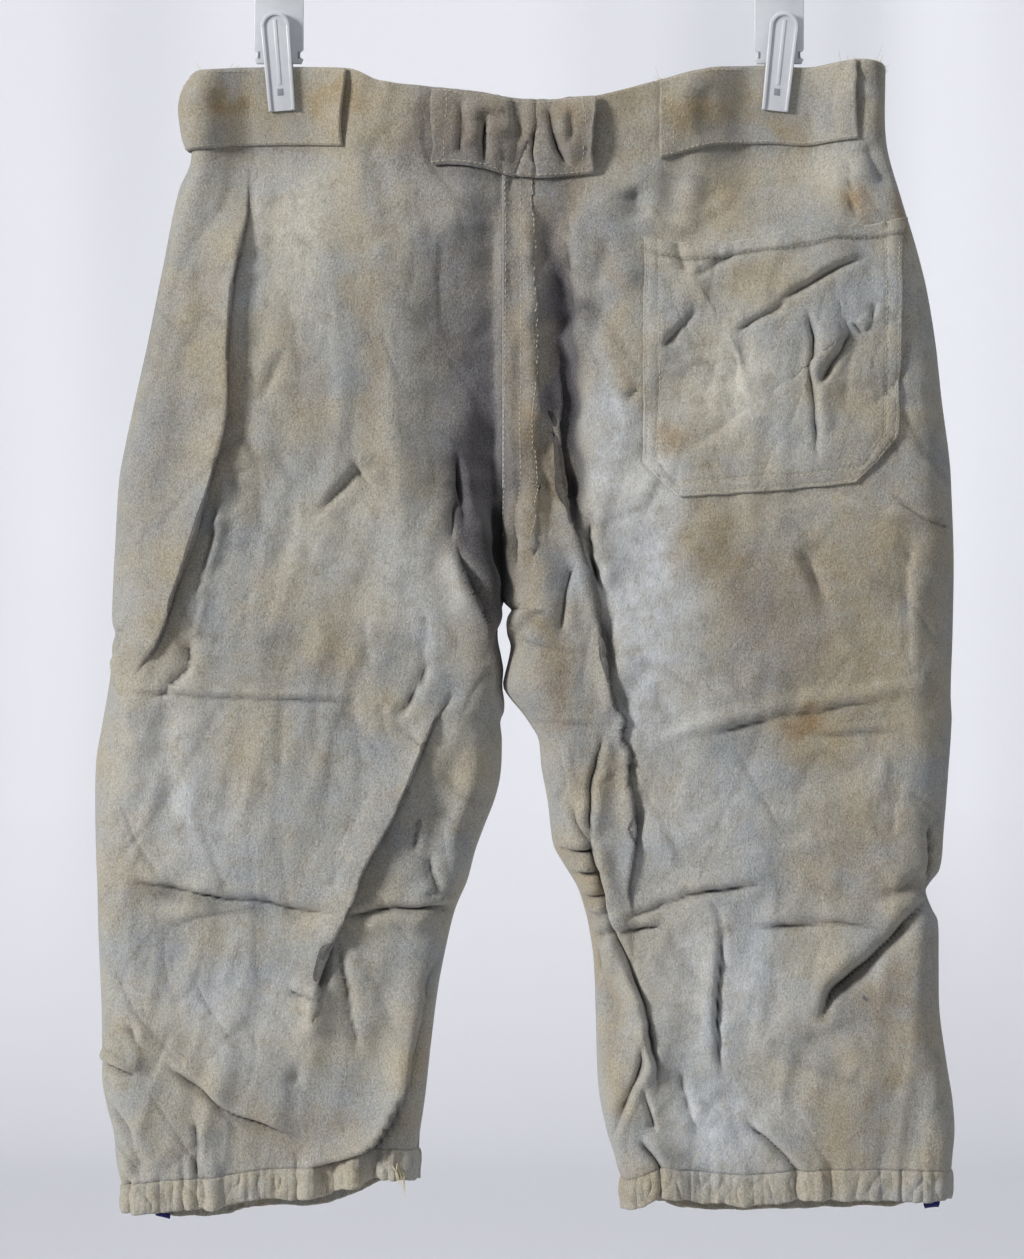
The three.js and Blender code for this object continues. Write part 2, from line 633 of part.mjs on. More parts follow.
// A panel's own points between an outer and an inner X, with wide spans divided,
// for each fractional row number
function patch(grid, outerX, innerX, rows, widest) {
  const middle = rows[Math.floor(rows.length / 2)];
  const from = columnAt(grid, middle, outerX);
  const to = columnAt(grid, middle, innerX);
  const whole = [];
  for (let c = Math.ceil(from + 0.1); c <= Math.floor(to - 0.1); c += 1) whole.push(c);
  const marks = [from, ...whole, to];
  const columns = [from];
  for (let i = 1; i < marks.length; i += 1) {
    const width = Math.abs(
      gridPlace(grid, middle, marks[i]).point.x - gridPlace(grid, middle, marks[i - 1]).point.x,
    );
    const parts = Math.ceil(width / widest);
    for (let k = 1; k <= parts; k += 1) columns.push(mix(marks[i - 1], marks[i], k / parts));
  }
  return rows.map((row) => columns.map((column) => gridPlace(grid, row, column)));
}

// Two patches that meet at their last and first columns
function joined(first, second) {
  return first.map((line, r) => {
    const end = line[line.length - 1];
    const start = second[r][0];
    const seam = {
      point: end.point.clone().lerp(start.point, 0.5),
      normal: end.normal.clone().add(start.normal).normalize(),
    };
    return [...line.slice(0, -1), seam, ...second[r].slice(1)];
  });
}

function mirrored(patchRows) {
  return patchRows.map((line) => line.slice().reverse());
}

function patchPoints(patchRows) {
  return patchRows.map((line) => line.map(({ point }) => point));
}

function patchNormals(patchRows) {
  return patchRows.map((line) => line.map(({ normal }) => normal));
}

const TUNNEL_SHARES = [0, 0.1, 0.3, 0.7, 0.9, 1];

// Row numbers of a panel's grid that a belt tunnel's rows lie on
function tunnelRows(grid) {
  const rowHeight = (grid.points[0][0].z - grid.points[1][0].z);
  return TUNNEL_SHARES.map((share) => (TUNNEL.inset + TUNNEL.height * share) / rowHeight);
}

function beltTunnel(name, patchRows, height = TUNNEL.puff, lift = 0, crumples = []) {
  const points = patchPoints(patchRows);
  const normals = patchNormals(patchRows);
  const puff = (point, r) => {
    const arch = Math.sin(Math.PI * TUNNEL_SHARES[r]) ** ARCH_POWER;
    const loose = 1 - pressed(point.x, 0);
    const creased = crumples.reduce((sum, { x, reach, depth }) => (
      sum + depth * Math.exp(-(((point.x - x) / reach) ** 2))), 0);
    return Math.max(0, (height * loose - creased) * arch);
  };
  const base = WALL + SEAM_GAP + lift;
  const outerFace = shifted(points, normals, (point, r) => base + WALL / 2 + puff(point, r));
  const innerFace = shifted(points, normals, (point, r) => base - WALL / 2 + puff(point, r));
  return wallMesh(name, outerFace, innerFace, MATERIALS.flannel);
}

// The place on a panel's grid at a drop, near a fractional column number
function gridDrop(leg, grid, column, drop) {
  let row = 0;
  for (let pass = 0; pass < 4; pass += 1) {
    const { x } = gridPlace(grid, row, column).point;
    const top = reading(WAIST_LINE, 'x', 'drop', x);
    row = ((drop - top) / (casingTop(leg, x) - top)) * (grid.points.length - 1);
  }
  return { row, ...gridPlace(grid, row, column) };
}

const POCKET_SHARES = [0, 0.052, 0.06, 0.16, 0.28, 0.4, 0.52, 0.64, 0.76, 0.86, 1];
const POCKET_LEAST_SPAN = 0.14;
const POCKET_BAND_SHARE = 0.055;
const POCKET_BASE_FADE = 12;

function pocketRow(grid, share) {
  const leg = LEGS.right;
  const dropAt = (x) => mix(
    reading(POCKET_MOUTH, 'x', 'drop', x),
    reading(POCKET_BASE, 'x', 'drop', x),
    share,
  );
  const columnOf = (x) => columnAt(grid, gridDrop(leg, grid, POCKET.middleColumn, dropAt(x)).row, x);
  const from = columnOf(reading(POCKET_SIDES, 'share', 'right', share));
  const to = columnOf(reading(POCKET_SIDES, 'share', 'left', share));
  const numbers = [from];
  for (let number = POCKET.firstColumn; number <= POCKET.lastColumn; number += 1) numbers.push(number);
  numbers.push(to);
  return spacedOut(numbers, from, to, POCKET_LEAST_SPAN).map((number) => {
    const { x } = gridDrop(leg, grid, number, dropAt(POCKET.middleX)).point;
    return gridDrop(leg, grid, number, dropAt(x));
  });
}

function hipPocket(grid) {
  const patchRows = POCKET_SHARES.map((share) => pocketRow(grid, share));
  const points = patchPoints(patchRows);
  const normals = patchNormals(patchRows);
  const lastColumn = points[0].length - 1;
  const puff = (r, c) => {
    const across = clamp01(Math.sin((Math.PI * c) / lastColumn)) ** ARCH_POWER;
    const fall = mix(1, POCKET.leastPuff, POCKET_SHARES[r] ** ARCH_POWER);
    return POCKET.puff * across * fall * ease((1 - POCKET_SHARES[r]) * POCKET_BASE_FADE);
  };
  const base = WALL + SEAM_GAP + POCKET.ease;
  const band = (r) => (POCKET_SHARES[r] < POCKET_BAND_SHARE ? POCKET.bandRaise : 0);
  const outerFace = shifted(points, normals, (point, r, c) => base + WALL / 2 + puff(r, c) + band(r));
  const innerFace = shifted(points, normals, (point, r, c) => base - WALL / 2 + puff(r, c));
  return wallMesh('hip_pocket', outerFace, innerFace, MATERIALS.flannel);
}

// A narrow strip of braid down the front, beside an outseam, along the panel's own rows
function sideBraid(name, leg, grid) {
  const patchRows = [];
  for (let row = BRAID.firstRow; row < grid.points.length; row += 1) {
    const { x } = gridPlace(grid, row, BRAID.column).point;
    const to = columnAt(grid, row, x - leg.sign * BRAID.width);
    const middle = mix(BRAID.column, to, 0.5);
    patchRows.push([BRAID.column, middle, to].map((column) => gridPlace(grid, row, column)));
  }
  const points = patchPoints(patchRows);
  const normals = patchNormals(patchRows);
  const base = WALL / 2 + SEAM_GAP + BRAID.ease;
  const outerFace = shifted(points, normals, base + BRAID.wall);
  const innerFace = shifted(points, normals, base);
  return wallMesh(name, outerFace, innerFace, MATERIALS.braid);
}

// The strip over the front closing, whose edge lies on the centre seam
function flyPlacket(grid) {
  const rowHeight = (grid.points[0][0].z - grid.points[1][0].z);
  const first = PLACKET.fromDrop / rowHeight;
  const last = PLACKET.toDrop / rowHeight;
  const rows = [first];
  for (let row = Math.ceil(first + 0.1); row < last; row += 1) rows.push(row);
  const patchRows = patch(grid, SEAM_X + PLACKET.width, SEAM_X + 1, rows, PLACKET.width);
  const points = patchPoints(patchRows);
  const normals = patchNormals(patchRows);
  const base = WALL / 2 + PLACKET.ease;
  const outerFace = shifted(points, normals, base + PLACKET.wall);
  const innerFace = shifted(points, normals, base);
  return wallMesh('fly_placket', outerFace, innerFace, MATERIALS.flannel);
}

// The button that closes the waist, on the placket's outer face
function waistButton(grid) {
  const { radius, rim, wall, dish, drop } = BUTTON;
  const profile = [
    new THREE.Vector2(0, 0),
    new THREE.Vector2(radius, 0),
    new THREE.Vector2(radius, wall),
    new THREE.Vector2(radius - rim, wall),
    new THREE.Vector2(radius - 2 * rim, dish),
    new THREE.Vector2(0, dish),
  ];
  const mesh = new THREE.Mesh(new THREE.LatheGeometry(profile, ROUND_SEGMENTS), MATERIALS.button);
  const rowHeight = (grid.points[0][0].z - grid.points[1][0].z);
  const row = drop / rowHeight;
  const x = SEAM_X + PLACKET.width / 2;
  const { point } = gridPlace(grid, row, columnAt(grid, row, x));
  const face = point.y + WALL / 2 + PLACKET.ease + PLACKET.wall;
  mesh.position.set(x, face + SEAM_GAP, point.z);
  mesh.name = 'waist_button';
  return mesh;
}

// ---- Gathered casings at the leg ends ----

// One closed loop of places along both panels' lower edges, evenly spaced along its length
function hemLoop(back, front, count) {
  const backEdge = back.points[back.points.length - 1];
  const frontEdge = front.points[front.points.length - 1];
  const corners = [...backEdge, ...frontEdge.slice().reverse()];
  const ways = [0];
  corners.forEach((corner, i) => {
    const next = corners[(i + 1) % corners.length];
    ways.push(ways[i] + Math.hypot(next.x - corner.x, next.y - corner.y));
  });
  const whole = ways[corners.length];
  const loop = [];
  let at = 0;
  for (let k = 0; k < count; k += 1) {
    const way = (whole * k) / count;
    while (ways[at + 1] < way) at += 1;
    const t = (way - ways[at]) / (ways[at + 1] - ways[at]);
    loop.push(corners[at].clone().lerp(corners[(at + 1) % corners.length], t));
  }
  return loop;
}

function hemCasing(name, back, front) {
  const count = CASING.gathers * 2;
  const loop = hemLoop(back, front, count);
  const points = [CASING.gap, CASING.height].map((step) => loop.map((place) => (
    place.clone().setZ(place.z - step)
  )));
  const normals = gridNormals(points, true);
  const centreX = (loop[0].x + loop[count / 2].x) / 2;
  const facing = Math.sign(normals[0][0].x * (points[0][0].x - centreX));
  normals.forEach((line) => line.forEach((normal) => {
    normal.multiplyScalar(facing);
    normal.z = 0;
    normal.normalize();
  }));
  const wave = (r, c) => CASING.rise * (c % 2 === 0 ? 1 : -1) * (r === 0 ? CASING.topShare : 1);
  const outerFace = shifted(points, normals, (point, r, c) => wave(r, c) + WALL / 2);
  const innerFace = shifted(points, normals, (point, r, c) => wave(r, c) - WALL / 2);
  return wallMesh(name, outerFace, innerFace, MATERIALS.casing, true);
}

// ---- Hanger ----

function roundedRectangle(width, height, corner) {
  const shape = new THREE.Shape();
  const [x, y] = [width / 2, height / 2];
  shape.moveTo(-x + corner, -y);
  shape.lineTo(x - corner, -y);
  shape.absarc(x - corner, -y + corner, corner, -Math.PI / 2, 0, false);
  shape.lineTo(x, y - corner);
  shape.absarc(x - corner, y - corner, corner, 0, Math.PI / 2, false);
  shape.lineTo(-x + corner, y);
  shape.absarc(-x + corner, y - corner, corner, Math.PI / 2, Math.PI, false);
  shape.lineTo(-x, -y + corner);
  shape.absarc(-x + corner, -y + corner, corner, Math.PI, 1.5 * Math.PI, false);
  return shape;
}

// A shape drawn in the Y-Z plane, extruded along X about x = 0
function extrudeAlongX(shape, length, curveSegments) {
  const geometry = new THREE.ExtrudeGeometry(shape, { depth: length, bevelEnabled: false, curveSegments });
  geometry.translate(0, 0, -length / 2);
  const turn = new THREE.Matrix4().makeBasis(
    new THREE.Vector3(0, 1, 0),
    new THREE.Vector3(0, 0, 1),
    new THREE.Vector3(1, 0, 0),
  );
  geometry.applyMatrix4(turn);
  return geometry;
}

function hangerHook() {
  const radius = HOOK_INSIDE + WIRE;
  const centreZ = WIRE - radius;
  const path = new THREE.CurvePath();
  const shankTop = new THREE.Vector3(0, 0, centreZ - radius - HOOK_TURN.rise);
  const shankEnd = new THREE.Vector3(0, 0, BAR.centreZ + BAR.height / 2 + SEAM_GAP);
  const turns = [];
  const { from, to, steps } = HOOK_TURN;
  for (let i = 0; i <= steps; i += 1) {
    const angle = THREE.MathUtils.degToRad(mix(from, to, i / steps));
    turns.push(new THREE.Vector3(radius * Math.cos(angle), 0, centreZ + radius * Math.sin(angle)));
  }
  path.add(new THREE.LineCurve3(shankEnd, shankTop));
  path.add(new THREE.CatmullRomCurve3([shankTop, ...turns]));
  const section = new THREE.Shape();
  section.absarc(0, 0, WIRE, 0, 2 * Math.PI, false);
  const geometry = new THREE.ExtrudeGeometry(section, { steps: 30, curveSegments: 4, extrudePath: path });
  const mesh = new THREE.Mesh(geometry, MATERIALS.steel);
  mesh.name = 'hanger_hook';
  return mesh;
}

function hookCollar() {
  const bore = WIRE + SEAM_GAP;
  const profile = [
    new THREE.Vector2(bore, 0),
    new THREE.Vector2(COLLAR.radius, 0),
    new THREE.Vector2(COLLAR.topRadius, COLLAR.height),
    new THREE.Vector2(bore, COLLAR.height),
    new THREE.Vector2(bore, 0),
  ];
  const geometry = new THREE.LatheGeometry(profile, ROUND_SEGMENTS);
  geometry.rotateX(Math.PI / 2);
  const mesh = new THREE.Mesh(geometry, MATERIALS.plastic);
  mesh.position.z = BAR.centreZ + BAR.height / 2 + SEAM_GAP;
  mesh.name = 'hook_collar';
  return mesh;
}

function hangerBar() {
  const shape = roundedRectangle(BAR.depth, BAR.height, BAR.corner);
  const mesh = new THREE.Mesh(extrudeAlongX(shape, BAR.length, 4), MATERIALS.plastic);
  mesh.position.z = BAR.centreZ;
  mesh.name = 'hanger_bar';
  return mesh;
}

// A sleeve round the bar with a flat tail that reaches down between the jaws
function clipYoke({ name, x }) {
  const sleeveY = BAR.depth / 2 + SEAM_GAP + YOKE.wall;
  const sleeveZ = BAR.height / 2 + SEAM_GAP + YOKE.wall;
  const tailZ = WAIST_Z - YOKE.bottomDrop - BAR.centreZ;
  const shape = new THREE.Shape([
    new THREE.Vector2(-sleeveY, sleeveZ),
    new THREE.Vector2(-sleeveY, -sleeveZ),
    new THREE.Vector2(-YOKE.tail / 2, -sleeveZ - YOKE.wall),
    new THREE.Vector2(-YOKE.tail / 2, tailZ),
    new THREE.Vector2(YOKE.tail / 2, tailZ),
    new THREE.Vector2(YOKE.tail / 2, -sleeveZ - YOKE.wall),
    new THREE.Vector2(sleeveY, -sleeveZ),
    new THREE.Vector2(sleeveY, sleeveZ),
  ]);
  shape.holes.push(roundedRectangle(BAR.depth + 2 * SEAM_GAP, BAR.height + 2 * SEAM_GAP, BAR.corner));
  const mesh = new THREE.Mesh(extrudeAlongX(shape, YOKE.width, 4), MATERIALS.plastic);
  mesh.position.set(x, 0, BAR.centreZ);
  mesh.name = `${name}_yoke`;
  return mesh;
}

function toManifold(geometry) {
  const bare = geometry.clone();
  bare.deleteAttribute('normal');
  bare.deleteAttribute('uv');
  const merged = mergeVertices(bare, 1e-4);
  return new wasm.Manifold(new wasm.Mesh({
    numProp: 3,
    vertProperties: Float32Array.from(merged.attributes.position.array),
    triVerts: Uint32Array.from(merged.index.array),
  }));
}

function fromManifold(solid) {
  const { vertProperties, triVerts } = solid.getMesh();
  const geometry = new THREE.BufferGeometry();
  geometry.setAttribute('position', new THREE.BufferAttribute(vertProperties, 3));
  geometry.setIndex(new THREE.BufferAttribute(triVerts, 1));
  geometry.computeVertexNormals();
  return geometry;
}

// The jaw's front outline, an arch on straight sides, in its own X-Z plane.
// "inset" is how far it lies inside the jaw's edge.
function jawOutline(inset) {
  const side = JAW.width / 2 - inset;
  const arch = JAW.top - JAW.width / 2;
  const shape = new THREE.Shape();
  shape.moveTo(-side, inset - JAW.bottom);
  shape.lineTo(side, inset - JAW.bottom);
  shape.lineTo(side, arch);
  shape.absarc(0, arch, side, 0, Math.PI, false);
  return shape;
}

// A plate drawn in the X-Z plane, extruded from one distance along Y to another
function plate(shape, fromY, toY) {
  const settings = { depth: toY - fromY, bevelEnabled: false, curveSegments: 6 };
  const geometry = new THREE.ExtrudeGeometry(shape, settings);
  geometry.rotateX(Math.PI / 2);
  geometry.translate(0, toY, 0);
  return geometry;
}

// A jaw with raised rims outside and a boss that bears on the yoke, its outside towards +Y
function jawSolid() {
  const face = PINCHED_HALF + WALL / 2 + SEAM_GAP + WALL + SEAM_GAP;
  const bossFace = YOKE.tail / 2 + SEAM_GAP;
  const rims = jawOutline(0);
  rims.holes.push(jawOutline(JAW.rim));
  const boss = new THREE.BoxGeometry(JAW.boss, face + JAW.plate / 2 - bossFace, JAW.boss);
  boss.translate(0, (bossFace + face + JAW.plate / 2) / 2, JAW.top / 2);
  const body = toManifold(plate(jawOutline(0), face, face + JAW.plate));
  const rim = toManifold(plate(rims, face + JAW.plate / 2, face + JAW.plate + JAW.rimRise));
  return body.add(rim).add(toManifold(boss));
}

function clipJaw({ name, x, lean }, side) {
  const geometry = fromManifold(jawSolid());
  const mesh = new THREE.Mesh(geometry, MATERIALS.plastic);
  const turn = side < 0 ? Math.PI : 0;
  mesh.rotation.set(0, THREE.MathUtils.degToRad(lean), turn, 'YXZ');
  mesh.position.set(x, 0, WAIST_Z);
  mesh.name = `${name}_${side < 0 ? 'back' : 'front'}_jaw`;
  return mesh;
}

// ---- The whole part ----

const BACK_ROWS = 36;
const FRONT_ROWS = 26;
const TUNNEL_SPAN = 14;
const BESIDE_CLIP = 14;
const FLAP_FOOT = 4;

// A column that runs straight down beside a clip
function plumbLine(x) {
  return [{ drop: 0, x }, { drop: 1, x }];
}

function clipStops(sign, before) {
  return [
    { line: plumbLine(sign * (CLIP_X + BESIDE_CLIP)), between: before },
    { line: plumbLine(sign * (CLIP_X - BESIDE_CLIP)), between: 0 },
  ];
}

const LAYOUTS = {
  back_left: {
    stops: [
      { line: LEFT_FLAP_LINE, between: 2, beside: -1 },
      { line: LEFT_FLAP_LINE, between: 0, beside: FLAP_FOOT },
      ...clipStops(-1, 1),
    ],
    inside: 8,
  },
  back_right: { stops: [...clipStops(1, 3), { line: RIGHT_TRENCH_LINE, between: 6 }], inside: 1 },
  front_left: { stops: clipStops(-1, 2), inside: 3 },
  front_right: { stops: clipStops(1, 2), inside: 3 },
};

const grids = {};
for (const side of ['left', 'right']) {
  grids[`back_${side}`] = panelGrid(LEGS[side], -1, BACK_ROWS, LAYOUTS[`back_${side}`]);
  grids[`front_${side}`] = panelGrid(LEGS[side], 1, FRONT_ROWS, LAYOUTS[`front_${side}`]);
}

// A belt tunnel's patch of one panel, between an outer and an inner X
function tunnelPatch(name, outerX, innerX) {
  return patch(grids[name], outerX, innerX, tunnelRows(grids[name]), TUNNEL_SPAN);
}

const OUTERMOST = 1000;
const roundLeftSide = joined(
  mirrored(tunnelPatch('back_left', -OUTERMOST, TUNNEL_ENDS.left.back)),
  tunnelPatch('front_left', -OUTERMOST, TUNNEL_ENDS.left.front),
);
const acrossCentre = joined(
  tunnelPatch('back_left', TUNNEL_ENDS.back.from, SEAM_X),
  mirrored(tunnelPatch('back_right', TUNNEL_ENDS.back.to, SEAM_X)),
);

const onRightBack = tunnelPatch('back_right', TUNNEL_ENDS.right.to, TUNNEL_ENDS.right.from);
const onRightFront = tunnelPatch('front_right', TUNNEL_ENDS.front.to, TUNNEL_ENDS.front.from);

const pants = new THREE.Group();
for (const side of ['left', 'right']) {
  const leg = LEGS[side];
  const back = grids[`back_${side}`];
  const front = grids[`front_${side}`];
  pants.add(panel(`back_${side}`, leg, -1, back));
  pants.add(panel(`front_${side}`, leg, 1, front));
  pants.add(hemCasing(`hem_casing_${side}`, back, front));
  pants.add(sideBraid(`side_braid_${side}`, leg, front));
}
pants.add(beltTunnel('belt_tunnel_left', roundLeftSide));
pants.add(beltTunnel('belt_tunnel_back', acrossCentre, TUNNEL.backPuff, FELL_RAISE, BACK_TUNNEL_CRUMPLES));
pants.add(beltTunnel('belt_tunnel_right', onRightBack));
pants.add(beltTunnel('belt_tunnel_front', onRightFront));
pants.add(hipPocket(grids.back_right));
pants.add(flyPlacket(grids.front_right));
pants.add(waistButton(grids.front_right));
pants.add(hangerHook());
pants.add(hookCollar());
pants.add(hangerBar());
for (const clip of CLIPS) {
  pants.add(clipYoke(clip));
  pants.add(clipJaw(clip, -1));
  pants.add(clipJaw(clip, 1));
}

export default pants;
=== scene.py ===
"""Old wool flannel baseball pants on a clip hanger, seen from the back.

Sizes are in millimetres until a mesh is made. +Z is up, the origin is the inside top of the hook,
the garment's back faces -Y and "drop" is a height below the waist's clipped edge.
"""
import math
from collections import namedtuple

import bmesh
import bpy
import numpy as np
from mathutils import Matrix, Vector


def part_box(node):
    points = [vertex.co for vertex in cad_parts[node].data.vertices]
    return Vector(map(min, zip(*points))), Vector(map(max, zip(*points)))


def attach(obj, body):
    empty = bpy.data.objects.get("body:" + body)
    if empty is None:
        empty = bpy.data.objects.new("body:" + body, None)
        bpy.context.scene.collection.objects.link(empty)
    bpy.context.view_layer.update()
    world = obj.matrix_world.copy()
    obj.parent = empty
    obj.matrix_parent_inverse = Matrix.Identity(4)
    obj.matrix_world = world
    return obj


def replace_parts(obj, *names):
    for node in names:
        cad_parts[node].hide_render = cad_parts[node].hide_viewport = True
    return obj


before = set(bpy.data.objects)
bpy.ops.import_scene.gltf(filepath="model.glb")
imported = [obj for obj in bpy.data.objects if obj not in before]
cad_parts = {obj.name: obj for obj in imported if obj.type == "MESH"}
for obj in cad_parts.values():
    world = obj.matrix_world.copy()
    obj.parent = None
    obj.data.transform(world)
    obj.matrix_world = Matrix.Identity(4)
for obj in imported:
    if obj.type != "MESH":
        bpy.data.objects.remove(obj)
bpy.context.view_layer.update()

# ---- Sizes ----

MM = 0.001
WAIST_Z = -175
SEAM_X = -17
CROTCH_DROP = 348
SHELL = 1.8
SEAM_GAP = 0.3
OUTER_ROLL_RATIO = 0.95
INNER_ROLL_RATIO = 0.85
SEAT_ROLL = {"left": 74, "right": 52}
FELL = {"width": 20, "raise": 0.9, "fade": 40}
CLIP_X = 162.5
CLIP_FLAT = {"across": 17, "down": 54}
CLIP_FADE = {"across": 60, "down": 112}
PINCHED_HALF = 1.2
FRONT_HANG = 10.5
CASING_HEIGHT = 20
TUNNEL = {"height": 50, "inset": 1, "puff": 6.5, "back_puff": 9.5}
SEED = 41

# The photograph is 1024 x 1259 pixels, and this is one of its pixels on the garment's plane
PIXEL = 0.65
PHOTO_X = 529
PHOTO_WAIST = 68
PHOTO_CENTRE = (512, 629.5)
PHOTO_HEIGHT = 1259


def plane(points):
    """Pixels of the photograph as (x, drop) on the garment's plane."""
    return (np.array(points, float) - (PHOTO_X, PHOTO_WAIST)) * PIXEL


def pair(word):
    """The two numbers of a word such as 12,34."""
    return tuple(map(float, word.split(",")))


def pairs(text):
    return list(map(pair, text.split()))


def table_rows(text):
    """The words of each line of a table."""
    return [line.split() for line in text.strip().splitlines()]


# ---- Tables read off the photograph, in its pixels ----

LEFT_OUTER = pairs("""
203,68 196,84 193,100 192,163 180,192 163,275 149,345 137,399 127,446 121,479 117,540 114,603 114,622 117,634
114,646 114,660 110,690 104,724 98,760 97,810 98,860 99,882 100,930 103,1000 104,1058 104,1080 109,1107
115,1130 118,1160 124,1190 125,1230
""")
LEFT_INNER = pairs("""
503,600 500,610 497,622 496.5,639 500,657 502,670 501,686 503,702 502.5,712 499,721 500.5,739 499,775 493,800
484,823 474,850 466,880 456,903 452,915 446,940 437,986 430,1040 423,1102 415,1151 409,1180 408,1230
""")
RIGHT_OUTER = pairs("""
884,68 885,143 900,200 914,246 925,290 934,345 940,400 948,462 950,500 952,560 951,630 949,694 950,720
946,780 942,830 938,868 928,882 924,890 930,908 936,920 937,960 938,1011 945,1062 951,1100 953,1130 951,1154
948,1190 948,1230
""")
RIGHT_INNER = pairs("""
503,600 513,610 508,624 509,636 512,645 509.5,661 506,675 504.5,686 509,695 524,713 534,728 540,739 543,768
549,800 553,835 556,848 564,862 578,885 585,905 590,925 595,960 597,1011 600,1088 608,1130 615,1152 623,1177
632,1206 634,1230
""")
WAIST_LINE = pairs("""
200,73 250,68 346,70 380,83 434,91 483,96 503,100 541,103 570,101 597,99 657,84 690,75 718,69 765,66 806,68
840,64 862,63 880,67 886,70
""")
LEFT_HEM = pairs("""
120,1214 153,1208 213,1204 260,1197 323,1193 364,1179 386,1175 410,1178
""")
RIGHT_HEM = pairs("""
630,1207 651,1198 664,1193 680,1196 746,1201 797,1197 848,1196 912,1197 950,1199
""")

# Drops down each leg, half of the hollow's depth there, and how far the centre seam lies from the
# middle plane, all in millimetres
HOLLOW = (
    (0, 15, 15), (62, 15, 15), (84, 17, 17), (140, 25, 14), (216, 30, 11), (258, 32, 8), (292, 32, 3),
    (318, 32, 1.6), (347, 32, 1.2), (378, 31, 0), (450, 30, 0), (545, 28, 0), (613, 26.5, 0), (677, 23, 0),
    (704, 20, 0), (742, 18, 0),
)

# A fold runs down its path. "side" is its raised side: 1 to the right of a path that runs down,
# or above one that runs right. Depth and reach are in millimetres.
Fold = namedtuple("Fold", "kind depth reach side path")


def read_folds(table):
    """One fold a line: its kind, depth, reach, raised side and path."""
    return [Fold(kind, float(depth), float(reach), float(side), list(map(pair, path)))
            for kind, depth, reach, side, *path in table_rows(table)]
# A lip is a fold whose raised side hangs over the low one. Columns of the mesh follow it.
Lip = namedtuple("Lip", "side reach overhang path heights")

LEFT_FLAP = Lip(-1, 30, 5, pairs("""
243,60 246,150 246,217 239,250 232,286 226,348 224,421 215,461 199,523 177,588 159,642 141,672 139,760
140,900 150,1230
"""), pairs("""
150,0 175,2.5 240,5 348,9 523,10 600,8 642,5 674,0
"""))
LEFT_DIAGONAL = Lip(-1, 42, 5, pairs("""
415,60 425,200 440,300 452,450 458,560 458,650 447,700 430,725 416,758 392,810 364,859 345,906 331,935
322,965 312,1020 303,1083 298,1140 300,1230
"""), pairs("""
700,0 735,4 780,8 860,10 925,10 955,7 985,3 1020,0
"""))
RIGHT_TRENCH = Lip(-1, 11, 3.5, pairs("""
534,60 536,200 544,270 551,328 554,360 555,420 559,477 565,516 573,545 584,585 597,640 603,684 610,706
619,719 616,734 625,755 623,775 628,800 631,830 627,862 624,885 628,905 637,960 646,1010 653,1045 656,1090
655,1230
"""), pairs("""
340,0 400,2 450,4 520,7 560,6 600,6 690,7 730,4.5 840,4 880,3 915,0
"""))

